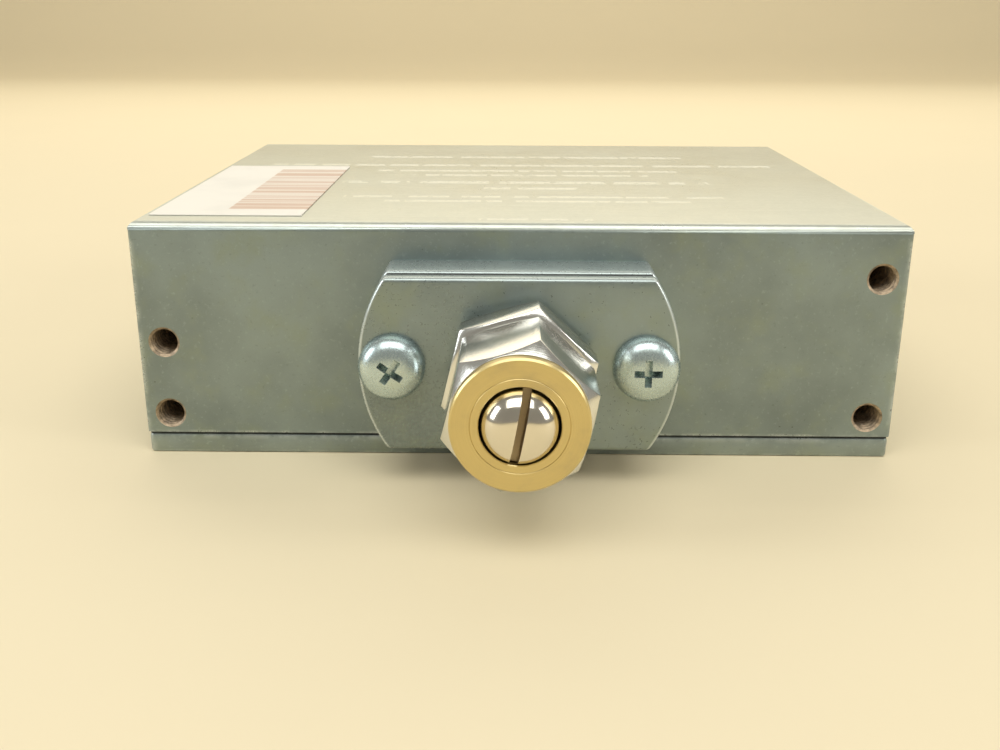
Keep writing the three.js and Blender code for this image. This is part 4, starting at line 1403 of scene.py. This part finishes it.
@dataclass(frozen=True)
class Lamp:
    """A soft rectangular light, placed in millimetres."""

    name: str
    at: tuple[float, float, float]
    target: tuple[float, float, float]  # the point that it faces
    size: tuple[float, float]  # its width and height
    power: float  # in watts
    colour: Colour

    def hang(self) -> None:
        """Adds the light to the scene."""
        lamp = bpy.data.lights.new(self.name, "AREA")
        lamp.shape = "RECTANGLE"
        lamp.size, lamp.size_y = self.size[0] * MM, self.size[1] * MM
        lamp.energy, lamp.color = self.power, self.colour
        light = bpy.data.objects.new(self.name, lamp)
        here = Vector(self.at) * MM
        light.location = here
        light.rotation_euler = (Vector(self.target) * MM - here).to_track_quat("-Z", "Y").to_euler()
        bpy.context.scene.collection.objects.link(light)
        light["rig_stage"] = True


LAMPS = (
    Lamp("overhead", (0.0, -280.0, 480.0), (0.0, -40.0, 0.0), (620.0, 340.0), 1.85, (0.98, 0.98, 0.95)),
    Lamp("behind", (0.0, 520.0, 400.0), (0.0, 0.0, 20.0), (1000.0, 420.0), 1.5, (1.0, 0.97, 0.9)),
    Lamp("backdrop", (0.0, 260.0, 620.0), (0.0, 1000.0, 160.0), (1200.0, 260.0), 3.2, (1.0, 0.96, 0.86)),
    Lamp("left_side", (-430.0, -170.0, 190.0), (0.0, -30.0, 15.0), (160.0, 240.0), 0.7, (0.92, 0.96, 1.0)),
    Lamp("right_side", (430.0, -200.0, 200.0), (0.0, -30.0, 15.0), (160.0, 240.0), 0.7, (0.97, 0.97, 0.95)),
)


@dataclass
class Studio:
    """The pale floor with its curved backdrop, the soft lights and the camera."""

    lens: float = 39.53
    sensor: float = 36.0
    eye: tuple[float, float, float] = (-1.04, -169.84, 55.03)
    look: tuple[float, float, float] = (18.68, 0.58, 0.31)  # a turn vector, in degrees

    def build(self) -> None:
        """Builds the floor, the lights, the world and the camera."""
        self._floor()
        for lamp in LAMPS:
            lamp.hang()
        world = bpy.data.worlds.new("studio_air")
        world.use_nodes = True
        lighting = world.node_tree.nodes["Background"]
        lighting.inputs["Color"].default_value = (1.0, 0.95, 0.84, 1.0)
        lighting.inputs["Strength"].default_value = 0.3
        bpy.context.scene.world = world
        bpy.context.scene.view_settings.view_transform = "Standard"
        self._camera()

    def _floor(self) -> None:
        """A floor that curves up far behind the switch."""
        sheet = Shape()
        front, back, side, rise, curve, level = -900.0, 700.0, 1500.0, 900.0, 300.0, -0.03
        outline = [Vector((-side, front, level)), Vector((-side, back, level))]
        outline += [
            Vector((-side, back + curve * math.sin(turn), level + curve * (1 - math.cos(turn))))
            for turn in (math.pi / 2 * step / 12 for step in range(1, 13))
        ]
        outline.append(Vector((-side, back + curve, rise)))
        corners = [sheet.bm.verts.new(point) for point in outline]
        edges = [sheet.bm.edges.new(pair) for pair in zip(corners, corners[1:])]
        made = bmesh.ops.extrude_edge_only(sheet.bm, edges=edges)
        far = [part for part in made["geom"] if isinstance(part, bmesh.types.BMVert)]
        bmesh.ops.translate(sheet.bm, verts=far, vec=(2 * side, 0.0, 0.0))
        bmesh.ops.recalc_face_normals(sheet.bm, faces=sheet.bm.faces)
        floor = sheet.piece("studio_floor", (Looks.FLOOR,), smooth=60.0)
        floor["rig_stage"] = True

    def _camera(self) -> None:
        """The camera, low in front of the plunger and looking a little down."""
        turn = Vector(self.look)
        tilt = Matrix.Rotation(math.radians(turn.length), 3, turn.normalized())
        seen = tilt @ Matrix(((1, 0, 0), (0, 0, -1), (0, 1, 0)))
        facing = Matrix((seen[0], -seen[1], -seen[2])).transposed()
        camera = bpy.data.objects.new("camera", bpy.data.cameras.new("camera"))
        camera.data.lens, camera.data.sensor_width = self.lens, self.sensor
        camera.data.clip_start, camera.data.clip_end = 0.01, 10.0
        camera.matrix_world = Matrix.Translation(Vector(self.eye) * MM) @ facing.to_4x4()
        bpy.context.scene.collection.objects.link(camera)
        bpy.context.scene.camera = camera


def main() -> None:
    """Builds the switch and its studio."""
    outside = (BoxShell(), FlangeStack(), PlungerHead(), PlungerTip(), CableGland())
    for part in (*outside, ReturnSpring(), InnerWorks(), Studio()):
        part.build()
        log.info("built %s", type(part).__name__)
    bpy.context.view_layer.update()
    boxes = {
        name: [[float(part) for part in corner] for corner in box]
        for name, box in (("cad", cad_box), ("visual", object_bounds()))
    }


if __name__ == "__main__":
    main()
